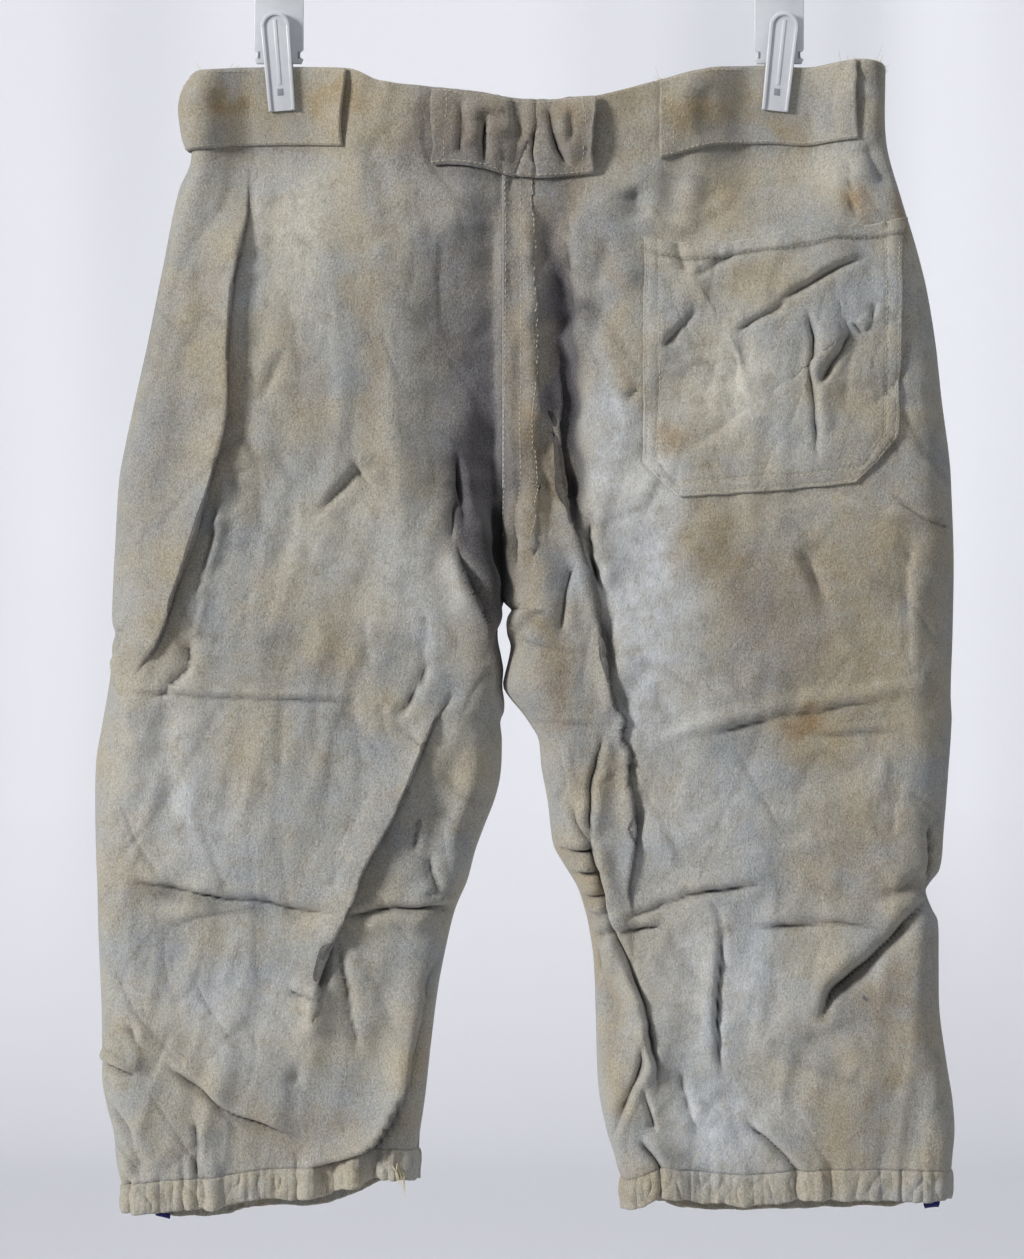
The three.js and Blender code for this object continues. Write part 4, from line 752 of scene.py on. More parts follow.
class Surface:
    """A panel's middle surface on a grid, with the undisturbed place of each of its points."""

    def __init__(self, leg, side, rows, lips, counts, folds, seed):
        self.leg = leg
        self.side = side
        self.share = np.linspace(0, 1, rows)[:, None]
        self.x = grid_columns(leg, self.share[:, 0], lips, counts)
        self.drop = row_drop(leg, self.x, self.share)
        self.outer_way = np.abs(outer_x(leg, self.drop) - self.x)
        self.inner_way = np.abs(self.x - inner_x(leg, self.drop))
        self.on_seam = self.drop < CROTCH_DROP - 1
        self.loose = 1 - pressed(self.x, self.drop)
        up, slide, lips_shade = np.zeros((3, *self.x.shape))
        for lip in lips:
            lip_up, lip_slide, lip_shade = lip_shape(lip, self.x, self.drop)
            up += lip_up
            slide += lip_slide
            lips_shade = np.maximum(lips_shade, lip_shade)
        outward = (0, side, 0)
        points = self.hung(up, slide)
        height, self.shade = self.relief(folds, lips_shade, seed)
        self.points = points + grid_normals(points, outward) * height[..., None]
        self.normals = grid_normals(self.points, outward)
        self.normals[:, 0] = (leg.sign, 0, 0)
        self.normals[:, -1] = np.where(self.on_seam[:, -1:], outward, (-leg.sign, 0, 0))
        self.normals[-1, :, 2] = 0
        self.normals[-1] /= np.linalg.norm(self.normals[-1], axis=-1, keepdims=True)

    def hung(self, up, slide):
        """The panel round its hollow, before its folds: rolled edges, raised lips and the clips' flat."""
        x, drop = self.x, self.drop
        half = curve(drop, HOLLOW_DROPS, HOLLOW_HALVES)
        seam_share = np.clip(curve(drop, HOLLOW_DROPS, HOLLOW_SEAMS) / half, 0, 1)
        seam_share = np.where(drop < CROTCH_DROP + 20, seam_share, 0)
        fell = smooth((CROTCH_DROP - drop) / FELL["fade"])
        fell_width = self.leg.fell * fell if self.side < 0 else 0
        in_leg = quarter_round(self.inner_way / (half * INNER_ROLL_RATIO))
        in_seat = smooth((self.inner_way - fell_width) / SEAT_ROLL[self.leg.name])
        inner = mix(mix(in_leg, in_seat, smooth(seam_share * 5)), 1, seam_share)
        outer = quarter_round(self.outer_way / (half * OUTER_ROLL_RATIO))
        outer_fade, inner_fade = FADE["lip"]
        inner_edge = mix(smooth(self.inner_way / inner_fade), 1, self.on_seam * 1.0)
        off_edges = smooth(self.outer_way / outer_fade) * inner_edge
        free = half * outer * inner + up * off_edges * self.loose
        flat = PINCHED_HALF * outer
        depth = np.maximum(mix(flat, free, self.loose), np.minimum(flat, free))
        hang = 0
        if self.side < 0:
            on_fell = (x - SEAM_X < FELL["width"]) & (self.leg.fell > 0)
            depth = depth + np.where(on_fell, FELL["raise"] * fell, 0)
        else:
            hang = FRONT_HANG * self.share * smooth(np.minimum(self.outer_way, self.inner_way) / FADE["hang"])
        slid_x = x + slide * off_edges * self.loose
        points = np.stack([slid_x, self.side * depth, WAIST_Z - drop - hang], -1)
        points[:, 0, 1] = self.side * SEAM_GAP / 2
        points[~self.on_seam[:, -1], -1, 1] = self.side * SEAM_GAP / 2
        return points

    def relief(self, folds, lips_shade, seed):
        """How far folds, wrinkles and gathers raise the cloth, and how much painted shade its grooves get."""
        x, drop = self.x, self.drop
        outer_fade, inner_fade = FADE["relief"]
        calm = smooth(self.outer_way / outer_fade) * smooth(self.inner_way / inner_fade) * self.loose
        height, grooves = folds_height(folds, x, drop, seed)
        fine = wrinkles(x, drop, seed + 600)
        # Painted shade along lip edges, fold grooves and fine wrinkles
        shade = np.maximum(np.maximum(lips_shade, grooves), 0.2 * fine) * calm
        height = (height + rumpled(x, drop, seed + 200) - fine) * calm
        reach = GATHER["reach"] + GATHER["uneven"] * noise(x, np.zeros_like(x), 9, seed + 302)
        bottom = smooth(1 - (casing_top(self.leg, x) - drop) / reach) ** 0.7
        pleats = gathers(x, seed + GATHER["seed"]) * GATHER["rise"] * bottom
        return height + pleats * smooth(self.outer_way / FADE["pleats"]), shade

    def at(self, x, drop):
        """Points and normals of the surface over places that are given as (x, drop)."""
        x, drop = np.broadcast_arrays(np.asarray(x, float), np.asarray(drop, float))
        rows, columns = self.x.shape
        top = waist_drop(x)
        share = (drop - top) / (casing_top(self.leg, x) - top)
        row = np.clip(share * (rows - 1), 0, rows - 1.001)
        order = -self.leg.sign
        found = np.zeros(x.shape + (6,))
        table = np.concatenate([self.points, self.normals], -1)
        numbers = np.arange(columns)
        for place in np.ndindex(x.shape):
            r = int(row[place])
            line = mix(self.x[r], self.x[r + 1], row[place] - r)
            column = np.interp(x[place] * order, line * order, numbers)
            c = min(int(column), columns - 2)
            upper = mix(table[r, c], table[r, c + 1], column - c)
            lower = mix(table[r + 1, c], table[r + 1, c + 1], column - c)
            found[place] = mix(upper, lower, row[place] - r)
        normals = found[..., 3:]
        return found[..., :3], normals / np.linalg.norm(normals, axis=-1, keepdims=True)


# ---- Meshes ----

# Stains smaller than this, in pixels, and the painted near-black shadows keep their exact outline
SMALL_STAIN = 5
# The corners of a face in the other order round it
TURNED = (0, 3, 2, 1)


def grid_quads(rows, columns, ring=False):
    """The faces of a grid of points that are numbered row by row."""
    r, c = np.meshgrid(np.arange(rows - 1), np.arange(columns if ring else columns - 1), indexing="ij")
    here, after = r * columns + c, r * columns + (c + 1) % columns
    return np.stack([here, here + columns, after + columns, after], -1).reshape(-1, 4)


def shell_quads(rows, columns, ring):
    """The faces of a closed shell between two grids, the second one numbered after the first."""
    face = grid_quads(rows, columns, ring)
    under = rows * columns
    last = under - columns
    c = np.arange(columns if ring else columns - 1)
    after = (c + 1) % columns
    parts = [
        face,
        face[:, ::-1] + under,
        np.stack([c, after, after + under, c + under], -1),
        np.stack([last + after, last + c, last + c + under, last + after + under], -1),
    ]
    if not ring:
        r = np.arange(rows - 1) * columns
        parts.append(np.stack([r + columns, r, r + under, r + columns + under], -1))
        r = r + columns - 1
        parts.append(np.stack([r, r + columns, r + columns + under, r + under], -1))
    return np.vstack(parts)


def turned_out(points, quads):
    """The faces, all turned over if they face inwards."""
    a, b, c = points[quads[:, 0]], points[quads[:, 1]], points[quads[:, 2]]
    d = points[quads[:, 3]]
    volume = (a * np.cross(b, c)).sum() + (a * np.cross(c, d)).sum()
    return quads if volume > 0 else quads[:, ::-1]


def link_piece(name, mesh, slot_name, *materials):
    """A mesh as a visible piece of the one body."""
    for material in materials:
        mesh.materials.append(material)
    piece = bpy.data.objects.new(name, mesh)
    bpy.context.scene.collection.objects.link(piece)
    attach(piece, "root")
    return piece


def add_mesh(name, points, faces, material, slot_name, smooth_count=None):
    """One visible piece, from points in millimetres and faces with four corners."""
    faces = turned_out(points, faces)
    mesh = bpy.data.meshes.new(name)
    mesh.vertices.add(len(points))
    mesh.vertices.foreach_set("co", (points * MM).ravel())
    mesh.loops.add(faces.size)
    mesh.loops.foreach_set("vertex_index", np.ascontiguousarray(faces).ravel())
    mesh.polygons.add(len(faces))
    mesh.polygons.foreach_set("loop_start", np.arange(0, faces.size, 4))
    mesh.polygons.foreach_set("use_smooth", np.arange(len(faces)) < (smooth_count or len(faces)))
    mesh.update(calc_edges=True)
    mesh.validate()
    return link_piece(name, mesh, slot_name, material)


def set_attribute(piece, name, values):
    """Gives each point of a piece a number for its material to read."""
    piece.data.attributes.new(name, "FLOAT", "POINT").data.foreach_set("value", values)


def paint(piece, x, drop):
    """Gives each point of a cloth piece its share of every kind of stain and of painted shade."""
    warp_x = x + 7 * noise(x, drop, 40, 900) + 3 * noise(x, drop, 14, 901)
    warp_drop = drop + 7 * noise(x, drop, 40, 902) + 3 * noise(x, drop, 14, 903)
    shares = {kind: np.zeros_like(x) for kind in STAIN_KINDS}
    for stain in STAINS:
        exact = stain.kind == "deep" or min(stain.radii) < SMALL_STAIN
        centre = plane(stain.centre)
        across = (x if exact else warp_x) - centre[0]
        down = (drop if exact else warp_drop) - centre[1]
        turn = math.radians(stain.turn)
        u = (across * math.cos(turn) + down * math.sin(turn)) / (stain.radii[0] * PIXEL)
        v = (down * math.cos(turn) - across * math.sin(turn)) / (stain.radii[1] * PIXEL)
        shares[stain.kind] += stain.strength * np.exp(-((u**2 + v**2) ** 1.3) * 0.8)
    for kind, share in shares.items():
        set_attribute(piece, kind, np.clip(share, 0, 1.2))


def cloth_piece(name, points, normals, x, drop, material, slot_name="flannel", thick=SHELL, ring=False,
                shade=0):
    """A thin shell of cloth about a grid of points, with its stains and the painted shade of its grooves."""
    rows, columns = points.shape[:2]
    half = normals * np.broadcast_to(thick, (rows, columns))[..., None] / 2
    both = np.concatenate([points + half, points - half]).reshape(-1, 3)
    outer_faces = (rows - 1) * (columns if ring else columns - 1)
    piece = add_mesh(name, both, shell_quads(rows, columns, ring), material, slot_name, 2 * outer_faces)

    def both_sides(values):
        return np.tile(np.broadcast_to(values, (rows, columns)).ravel(), 2).astype(float)

    paint(piece, both_sides(x), both_sides(drop))
    # Painted shade along the grooves, which the material mixes in
    set_attribute(piece, "groove", both_sides(shade))
    return piece


# ---- Materials ----


def linear(red, green, blue):
    """An sRGB colour of 0 to 255 as Blender's linear colour."""
    return (*[((c / 255 + 0.055) / 1.055) ** 2.4 for c in (red, green, blue)], 1.0)


class Nodes:
    """Short calls for a material's node tree."""

    def __init__(self, name):
        self.material = bpy.data.materials.new(name)
        self.material.use_nodes = True
        self.tree = self.material.node_tree
        self.shader = self.tree.nodes["Principled BSDF"]
        self.place = self.tree.nodes.new("ShaderNodeTexCoord").outputs["Object"]

    def link(self, source, target):
        self.tree.links.new(source, target)

    def set(self, **values):
        """Sets the shader's own sockets, with a line under for each blank in a name."""
        for name, value in values.items():
            self.shader.inputs[name.replace("_", " ")].default_value = value

    def noise(self, size, detail=3, stretch=(1, 1, 1), roughness=0.55, kind="FBM"):
        """Noise whose lumps are about size millimetres wide."""
        mapping = self.tree.nodes.new("ShaderNodeMapping")
        mapping.inputs["Scale"].default_value = [s / (size * MM) for s in stretch]
        self.link(self.place, mapping.inputs["Vector"])
        node = self.tree.nodes.new("ShaderNodeTexNoise")
        node.noise_type = kind
        node.inputs["Scale"].default_value = 1
        node.inputs["Detail"].default_value = detail
        node.inputs["Roughness"].default_value = roughness
        self.link(mapping.outputs["Vector"], node.inputs["Vector"])
        return node.outputs["Fac"]

    def attribute(self, name):
        """The number that each point of the mesh has under this name."""
        node = self.tree.nodes.new("ShaderNodeAttribute")
        node.attribute_name = name
        return node.outputs["Fac"]

    def math(self, operation, first, second, clamp=False):
        """One sum of two numbers or outputs."""
        node = self.tree.nodes.new("ShaderNodeMath")
        node.operation = operation
        node.use_clamp = clamp
        for socket, value in zip(node.inputs, (first, second)):
            if isinstance(value, (int, float)):
                socket.default_value = value
            else:
                self.link(value, socket)
        return node.outputs[0]

    def span(self, value, low, high, to_low=0.0, to_high=1.0):
        """The value from low to high, as a number from to_low to to_high."""
        node = self.tree.nodes.new("ShaderNodeMapRange")
        node.inputs["From Min"].default_value = low
        node.inputs["From Max"].default_value = high
        node.inputs["To Min"].default_value = to_low
        node.inputs["To Max"].default_value = to_high
        self.link(value, node.inputs["Value"])
        return node.outputs["Result"]

    def mix(self, share, first, second, blend="MIX"):
        """Two colours blended by a share."""
        node = self.tree.nodes.new("ShaderNodeMix")
        node.data_type = "RGBA"
        node.blend_type = blend
        for key, value in (("Factor", share), ("A", first), ("B", second)):
            socket = next(s for s in node.inputs if s.name == key and s.enabled)
            if isinstance(value, (int, float, tuple)):
                socket.default_value = value
            else:
                self.link(value, socket)
        return next(s for s in node.outputs if s.enabled)

    def bump(self, height, distance, strength=1.0, normal=None):
        """A normal that a height in millimetres disturbs, on top of another normal."""
        node = self.tree.nodes.new("ShaderNodeBump")
        node.inputs["Distance"].default_value = distance * MM
        node.inputs["Strength"].default_value = strength
        self.link(height, node.inputs["Height"])
        if normal is not None:
            self.link(normal, node.inputs["Normal"])
        return node.outputs["Normal"]


FLANNEL = {
    "base": linear(181, 176, 162),
    "cool": linear(169, 172, 173),
    "tan": linear(164, 146, 112),
    "rust": linear(148, 116, 70),
    "blue": linear(222, 226, 231),
    "light": linear(226, 222, 208),
    # Painted shade: broad shade in the hollows, near-black shadow in the narrowest gaps and shade along the
    # grooves of folds
    "dark": linear(104, 101, 104),
    "deep": linear(20, 20, 24),
    "groove": linear(48, 45, 48),
    "cream": linear(196, 184, 152),
    "grime": linear(120, 112, 100),
}
NAP_TIPS = (0.86, 0.85, 0.83, 1)
WEAVE_GAPS = (0.08, 0.08, 0.09, 1)


def flannel_material(name, cream=0.0):
    """Napped wool flannel with stains, worn places, painted shade in its hollows and grooves, and a soft halo
    of fibres.
    """
    n = Nodes(name)
    patches = n.span(n.noise(46, 4), 0.38, 0.64)
    colour = n.mix(patches, FLANNEL["base"], FLANNEL["cool"])
    if cream:
        tufts = n.span(n.noise(5, 3, (1, 1, 0.4)), 0.35, 0.65, cream * 0.4, cream)
        colour = n.mix(tufts, colour, FLANNEL["cream"])
    broken = n.span(n.noise(17, 5, roughness=0.65), 0.3, 0.62, 0.35, 1.15)
    for kind in ("blue", "light", "tan", "rust"):
        share = n.math("MULTIPLY", n.attribute(kind), broken, clamp=True)
        colour = n.mix(share, colour, FLANNEL[kind])
    blots = n.span(n.noise(11, 5, roughness=0.7), 0.54, 0.74, 0.0, 0.4)
    colour = n.mix(blots, colour, FLANNEL["tan"])
    grime = n.span(n.noise(7, 4, (1, 1, 0.6), 0.7), 0.52, 0.76, 0.0, 0.35)
    colour = n.mix(grime, colour, FLANNEL["grime"])
    # Painted shade laid over the cloth's colours: in the hollows, near-black in the narrowest gaps and along
    # fold grooves
    for kind in ("dark", "groove", "deep"):
        colour = n.mix(n.math("MULTIPLY", n.attribute(kind), 1.0, clamp=True), colour, FLANNEL[kind])
    nap = n.noise(1.3, 4, (1, 1, 0.9), 0.7)
    weave = n.noise(0.8, 2, (1, 1, 0.6), 0.6)
    colour = n.mix(n.span(nap, 0.34, 0.66, 0.0, 0.75), colour, NAP_TIPS, "SOFT_LIGHT")
    colour = n.mix(n.span(weave, 0.36, 0.62, 0.7, 0.0), colour, WEAVE_GAPS, "SOFT_LIGHT")
    n.link(colour, n.shader.inputs["Base Color"])
    n.set(Roughness=0.95, Specular_IOR_Level=0.15, Sheen_Weight=0.25, Sheen_Roughness=0.6)
    ridges = n.bump(n.noise(3.4, 3, (1, 1, 0.7)), 0.9, 0.55)
    crumple = n.bump(n.noise(24, 4, (1, 1, 0.8), 0.6, "RIDGED_MULTIFRACTAL"), 2.2, 0.4, ridges)
    n.link(n.bump(nap, 0.85, 1.0, crumple), n.shader.inputs["Normal"])
    return n.material


def plain_material(name, colour, roughness, metallic=0.0, transmission=0.0, bump=0.0, bump_size=1.0):
    """One colour with faint darker clouds."""
    n = Nodes(name)
    tone = n.span(n.noise(max(bump_size * 6, 4), 3), 0.3, 0.7, 0.0, 0.14)
    n.link(n.mix(tone, colour, tuple(c * 0.6 for c in colour[:3]) + (1,)), n.shader.inputs["Base Color"])
    n.set(Roughness=roughness, Metallic=metallic, Transmission_Weight=transmission)
    if bump:
        n.link(n.bump(n.noise(bump_size, 2), bump, 0.5), n.shader.inputs["Normal"])
    return n.material


FLANNEL_MATERIAL = flannel_material("worn flannel")
CASING_MATERIAL = flannel_material("gathered flannel", 0.25)
BRAID_MATERIAL = plain_material("navy braid", linear(24, 28, 98), 0.85, bump=0.3)
THREAD_MATERIAL = plain_material("faded thread", linear(196, 188, 168), 0.9)
CREAM_THREAD = plain_material("cream thread", linear(226, 214, 178), 0.9)
BUTTON_MATERIAL = plain_material("horn button", linear(74, 58, 42), 0.45, bump=0.1, bump_size=2)
PLASTIC_MATERIAL = plain_material("milky plastic", linear(232, 235, 240), 0.22, transmission=0.12)
# Flat patches painted as the shade inside holes: the clip jaw's inner hole, the yoke's slots and the button's
# thread holes
HOLE_SHADE_MATERIAL = plain_material("painted hole shade", linear(150, 152, 160), 0.5)
STEEL_MATERIAL = plain_material("hook steel", linear(190, 192, 196), 0.28, metallic=1.0)

# ---- Panels ----

BACK_ROWS = 330
FRONT_ROWS = 230
PANEL_SEEDS = {"back_left": 1000, "back_right": 2000, "front_left": 3000, "front_right": 4000}
LEFT_LIPS = (LEFT_FLAP, LEFT_DIAGONAL)
SURFACES = {
    name: Surface(LEGS[leg], side, rows, lips, counts, folds, PANEL_SEEDS[name])
    for name, leg, side, rows, lips, counts, folds in (
        ("back_left", "left", -1, BACK_ROWS, LEFT_LIPS, (26, 72, 34), BACK_LEFT_FOLDS),
        ("back_right", "right", -1, BACK_ROWS, (RIGHT_TRENCH,), (92, 40), BACK_RIGHT_FOLDS),
        ("front_left", "left", 1, FRONT_ROWS, (), (96,), FRONT_LEFT_FOLDS),
        ("front_right", "right", 1, FRONT_ROWS, (), (96,), FRONT_RIGHT_FOLDS),
    )
}


def make_panels():
    """The four leg panels over their CAD solids."""
    for name, surface in SURFACES.items():
        piece = cloth_piece(f"{name}_cloth", surface.points, surface.normals, surface.x, surface.drop,
                            FLANNEL_MATERIAL, shade=surface.shade)
        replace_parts(piece, name)


# ---- Belt tunnels ----

TUNNEL_ENDS = {
    "left": (-119, -100),
    "back": (-62, 44),
    "right": (84, 214.5),
    "front": (100, 214),
}


TUNNEL_SHARES = np.linspace(0, 1, 28)[:, None]


def tunnel_grid(panel, xs):
    """Places, points and normals of a tunnel's part that lies on one panel."""
    x = np.broadcast_to(xs[None, :], (len(TUNNEL_SHARES), len(xs)))
    drop = waist_drop(x) + TUNNEL["inset"] + TUNNEL_SHARES * TUNNEL["height"]
    return (x, drop, *SURFACES[panel].at(x, drop))


def tunnel_piece(name, grids, seed, puff=TUNNEL["puff"], lift=0, folds=TUNNEL_FOLDS):
    """A strip sewn along its upper and lower edges and open at both ends."""
    x, drop, points, normals = (np.hstack(parts) for parts in zip(*grids))
    normals = normals / np.linalg.norm(normals, axis=-1, keepdims=True)
    arch = np.sin(np.pi * np.clip(TUNNEL_SHARES, 0, 1)) ** 0.6
    loose = 1 - pressed(x, np.zeros_like(x))
    uneven = 1 + 0.35 * noise(x, drop, 24, seed)
    fold_heights, grooves = folds_height(folds, x, drop, seed + 1)
    height = puff * loose * arch * uneven * 0.6 + 1.4 * fold_heights * arch * loose
    height = height + rumpled(x, drop, seed + 90, 0.5) * arch * loose
    frayed = 0.5 * noise(x, drop * 0, 5, seed + 7)
    base = mix(SHELL + 0.1, SHELL + SEAM_GAP + 0.4 + lift, loose)
    points = points + normals * (base + np.maximum(height, -0.3 * loose))[..., None]
    points[..., 2] += frayed * (TUNNEL_SHARES < 0.02)
    normals = grid_normals(points, normals)
    # The grooves of the crumples get painted shade
    piece = cloth_piece(f"{name}_cloth", points, normals, x, drop, FLANNEL_MATERIAL,
                        shade=grooves * arch * loose)
    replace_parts(piece, name)
    return points, normals


def make_tunnels():
    """The four belt tunnels, as (points, normals) of each one's middle surface."""
    back_end, front_end = TUNNEL_ENDS["left"]
    edge = outer_x(LEGS["left"], np.array(30.0))
    over_back = tunnel_grid("back_left", back_end - spread(60, 0, 0.12) * (back_end - edge))
    over_front = tunnel_grid("front_left", (edge + (front_end - edge) * spread(52, 0.12, 0))[1:])
    made = [tunnel_piece("belt_tunnel_left", [over_back, over_front], 5000)]
    start, end = TUNNEL_ENDS["back"]
    grids = [tunnel_grid("back_left", np.arange(start, SEAM_X - 0.5, 1.6)),
             tunnel_grid("back_right", np.arange(SEAM_X + 0.8, end + 0.1, 1.6))]
    made.append(tunnel_piece("belt_tunnel_back", grids, 5200, TUNNEL["back_puff"],
                             FELL["raise"]))
    for name, panel, folds in (("right", "back_right", TUNNEL_FOLDS), ("front", "front_right", ())):
        start, end = TUNNEL_ENDS[name]
        grids = [tunnel_grid(panel, np.arange(start, end + 0.1, 1.7))]
        made.append(tunnel_piece(f"belt_tunnel_{name}", grids, 5400 + start, folds=folds))
    return made


# ---- Hip pocket ----

# The pocket's sides as shares of its height with pixels across, its mouth and base as pixels
POCKET_LEFT = pairs("0,642 0.5,641 0.86,641 0.93,658 1,677")
POCKET_RIGHT = pairs("0,898 0.3,897 0.5,896 0.84,893 0.92,874 1,850")
POCKET_MOUTH = pairs("641,241 652,243 677,248 700,249 724,248 770,241 833,232 899,223")
POCKET_BASE = pairs("641,501 676,499 758,494 850,485 899,478")
POCKET = {
    "rows": 160, "columns": 150, "width": 166, "height": 160,
    "puff": 6, "band": 9, "raise": 1.3, "seams": (2, 9.5), "seam_depth": 0.55, "seam_width": 1.2,
}


def pocket_place(share, across):
    """(x, drop) of a place on the pocket: share runs down from its mouth, across from its left side."""
    left = np.interp(share, *zip(*POCKET_LEFT))
    right = np.interp(share, *zip(*POCKET_RIGHT))
    px = mix(left, right, across)
    py = mix(curve(px, *zip(*POCKET_MOUTH)), curve(px, *zip(*POCKET_BASE)), share)
    return (px - PHOTO_X) * PIXEL, (py - PHOTO_WAIST) * PIXEL


def pocket_groove(way):
    """A dent along a seam, from how far each place lies from the seam's line."""
    return np.exp(-(way / POCKET["seam_width"]) ** 2)


def make_pocket():
    """The patch pocket with its turned top band, as (points, normals) of its middle surface."""
    share, across = np.broadcast_arrays(np.linspace(0, 1, POCKET["rows"])[:, None],
                                        np.linspace(0, 1, POCKET["columns"])[None, :])
    x, drop = pocket_place(share, across)
    points, normals = SURFACES["back_right"].at(x, drop)
    below_mouth = drop - drop[:1]
    from_side = np.minimum(across, 1 - across)
    middle = np.clip(np.sin(np.pi * across), 0, 1) ** 0.6
    puff = POCKET["puff"] * middle * mix(1, 0.3, share**0.6) * smooth((1 - share) * 12)
    inside = smooth(from_side * 14) * smooth((1 - share) * 14)
    band = smooth((POCKET["band"] - below_mouth) / 1.2) * POCKET["raise"]
    height, shade = folds_height(POCKET_FOLDS, x, drop, 6000)
    fine = 0.5 * wrinkles(x, drop, 6300)
    height = height + rumpled(x, drop, 6100, 0.5) - fine
    from_edge = np.minimum(from_side * POCKET["width"], (1 - share) * POCKET["height"])
    grooves = sum(pocket_groove(from_edge - way) for way in POCKET["seams"])
    grooves = grooves + pocket_groove(below_mouth - POCKET["band"] - 0.6)
    loose = np.maximum(puff + height * inside, -0.4)
    base = SHELL + SEAM_GAP + 0.7
    points = points + normals * (base + loose + band / 2 - POCKET["seam_depth"] * grooves)[..., None]
    normals = grid_normals(points, normals)
    # Painted shade under the band's edge and in the grooves of folds and fine wrinkles
    under_band = 0.5 * pocket_groove(below_mouth - POCKET["band"] - 1.2)
    shade = np.maximum(np.maximum(shade, 0.2 * fine), under_band) * inside
    piece = cloth_piece("hip_pocket_cloth", points, normals, x, drop, FLANNEL_MATERIAL,
                        thick=SHELL + band, shade=shade)
    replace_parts(piece, "hip_pocket")
    return points, normals


# ---- Front closing and braids ----

PLACKET = {"width": 38, "from_drop": 3, "to_drop": 215, "rows": 110, "columns": 22}
BRAID = {"inset": 3.5, "width": 8, "from_drop": 60, "to_drop": 712, "rows": 300, "columns": 6, "thick": 1.3}


def make_placket():
    """The plain strip that covers the front closing."""
    xs = np.linspace(SEAM_X + 1, SEAM_X + PLACKET["width"], PLACKET["columns"])
    x, drop = np.meshgrid(xs, np.linspace(PLACKET["from_drop"], PLACKET["to_drop"], PLACKET["rows"]))
    drop = drop + waist_drop(x)
    points, normals = SURFACES["front_right"].at(x, drop)
    raised = SHELL + SEAM_GAP + 0.2 + 0.4 * noise(x, drop, 20, 6500)
    points = points + normals * raised[..., None]
    piece = cloth_piece("fly_placket_cloth", points, grid_normals(points, normals), x, drop, FLANNEL_MATERIAL)
    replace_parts(piece, "fly_placket")


def make_braids():
    """A narrow braid down the front side of each outseam."""
    for name, leg in LEGS.items():
        insets = np.linspace(BRAID["inset"], BRAID["inset"] + BRAID["width"], BRAID["columns"])
        drop = np.linspace(BRAID["from_drop"], BRAID["to_drop"], BRAID["rows"])[:, None]
        x = outer_x(leg, drop) - leg.sign * insets
        drop = np.broadcast_to(drop, x.shape)
        points, normals = SURFACES[f"front_{name}"].at(x, drop)
        points = points + normals * (SHELL / 2 + SEAM_GAP + 0.8)
        normals = grid_normals(points, normals)
        piece = cloth_piece(f"side_braid_{name}_cloth", points, normals, x, drop, BRAID_MATERIAL, "braid",
                            BRAID["thick"])
        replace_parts(piece, f"side_braid_{name}")


# The turned button: radius and height of each of its edges, then its four thread holes
BUTTON = {
    "edges": ((0, 1.3), (4.2, 1.3), (6.2, 1.9), (7.2, 2.6), (8.2, 2.5), (8.5, 1.4), (8.2, 0), (0, 0)),
    "segments": 40, "hole": 1.1, "spacing": 2.1, "hole_height": 1.32,
}


def box_mm(node):
    """The low and high corner of a CAD node's box, in millimetres."""
    return (np.array(corner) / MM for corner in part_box(node))


def bm_piece(name, bm, slot_name, *materials, smooth_below=None):
    """A finished bmesh as a visible piece, smooth where its faces meet below an angle in degrees."""
    mesh = bpy.data.meshes.new(name)
    bm.to_mesh(mesh)
    bm.free()
    if smooth_below:
        mesh.shade_smooth()
        mesh.set_sharp_from_angle(angle=math.radians(smooth_below))
    return link_piece(name, mesh, slot_name, *materials)


def make_button():
    """The waist button, turned about its own axis, with four grey disks painted as the shade of its thread
    holes.
    """
    low, high = box_mm("waist_button")
    middle = (low + high) / 2
    segments = BUTTON["segments"]
    turns = [2 * math.pi * k / segments for k in range(segments)]
    bm = bmesh.new()
    rings = []
    for radius, height in BUTTON["edges"]:
        ring = [(radius * math.cos(t), height, radius * math.sin(t)) for t in (turns if radius else (0,))]
        rings.append([bm.verts.new(place) for place in ring])
    for first, second in zip(rings, rings[1:]):
        for k in range(segments):
            after = (k + 1) % segments
            if len(first) == 1:
                bm.faces.new((first[0], second[after], second[k]))
            elif len(second) == 1:
                bm.faces.new((first[k], first[after], second[0]))
            else:
                bm.faces.new((first[k], first[after], second[after], second[k]))
    for turn in range(4):
        angle = math.pi / 4 + turn * math.pi / 2
        across, up = (BUTTON["spacing"] * way for way in (math.cos(angle), math.sin(angle)))
        dark = bmesh.ops.create_circle(bm, cap_ends=True, segments=12, radius=BUTTON["hole"])
        for vert in dark["verts"]:
            x, y, _ = vert.co
            vert.co = Vector((across, BUTTON["hole_height"], up)) + Vector((x, 0.03, y))
            for face in vert.link_faces:
                face.material_index = 1
    bmesh.ops.recalc_face_normals(bm, faces=bm.faces[:])
    for vert in bm.verts:
        vert.co = (vert.co + Vector((middle[0], low[1], middle[2]))) * MM
    piece = bm_piece("waist_button_horn", bm, "button", BUTTON_MATERIAL, HOLE_SHADE_MATERIAL)
    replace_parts(piece, "waist_button")


# ---- Gathered casings ----

CASING = {"columns": 900, "rows": 14, "gap": 0.1, "pucker_span": 9}


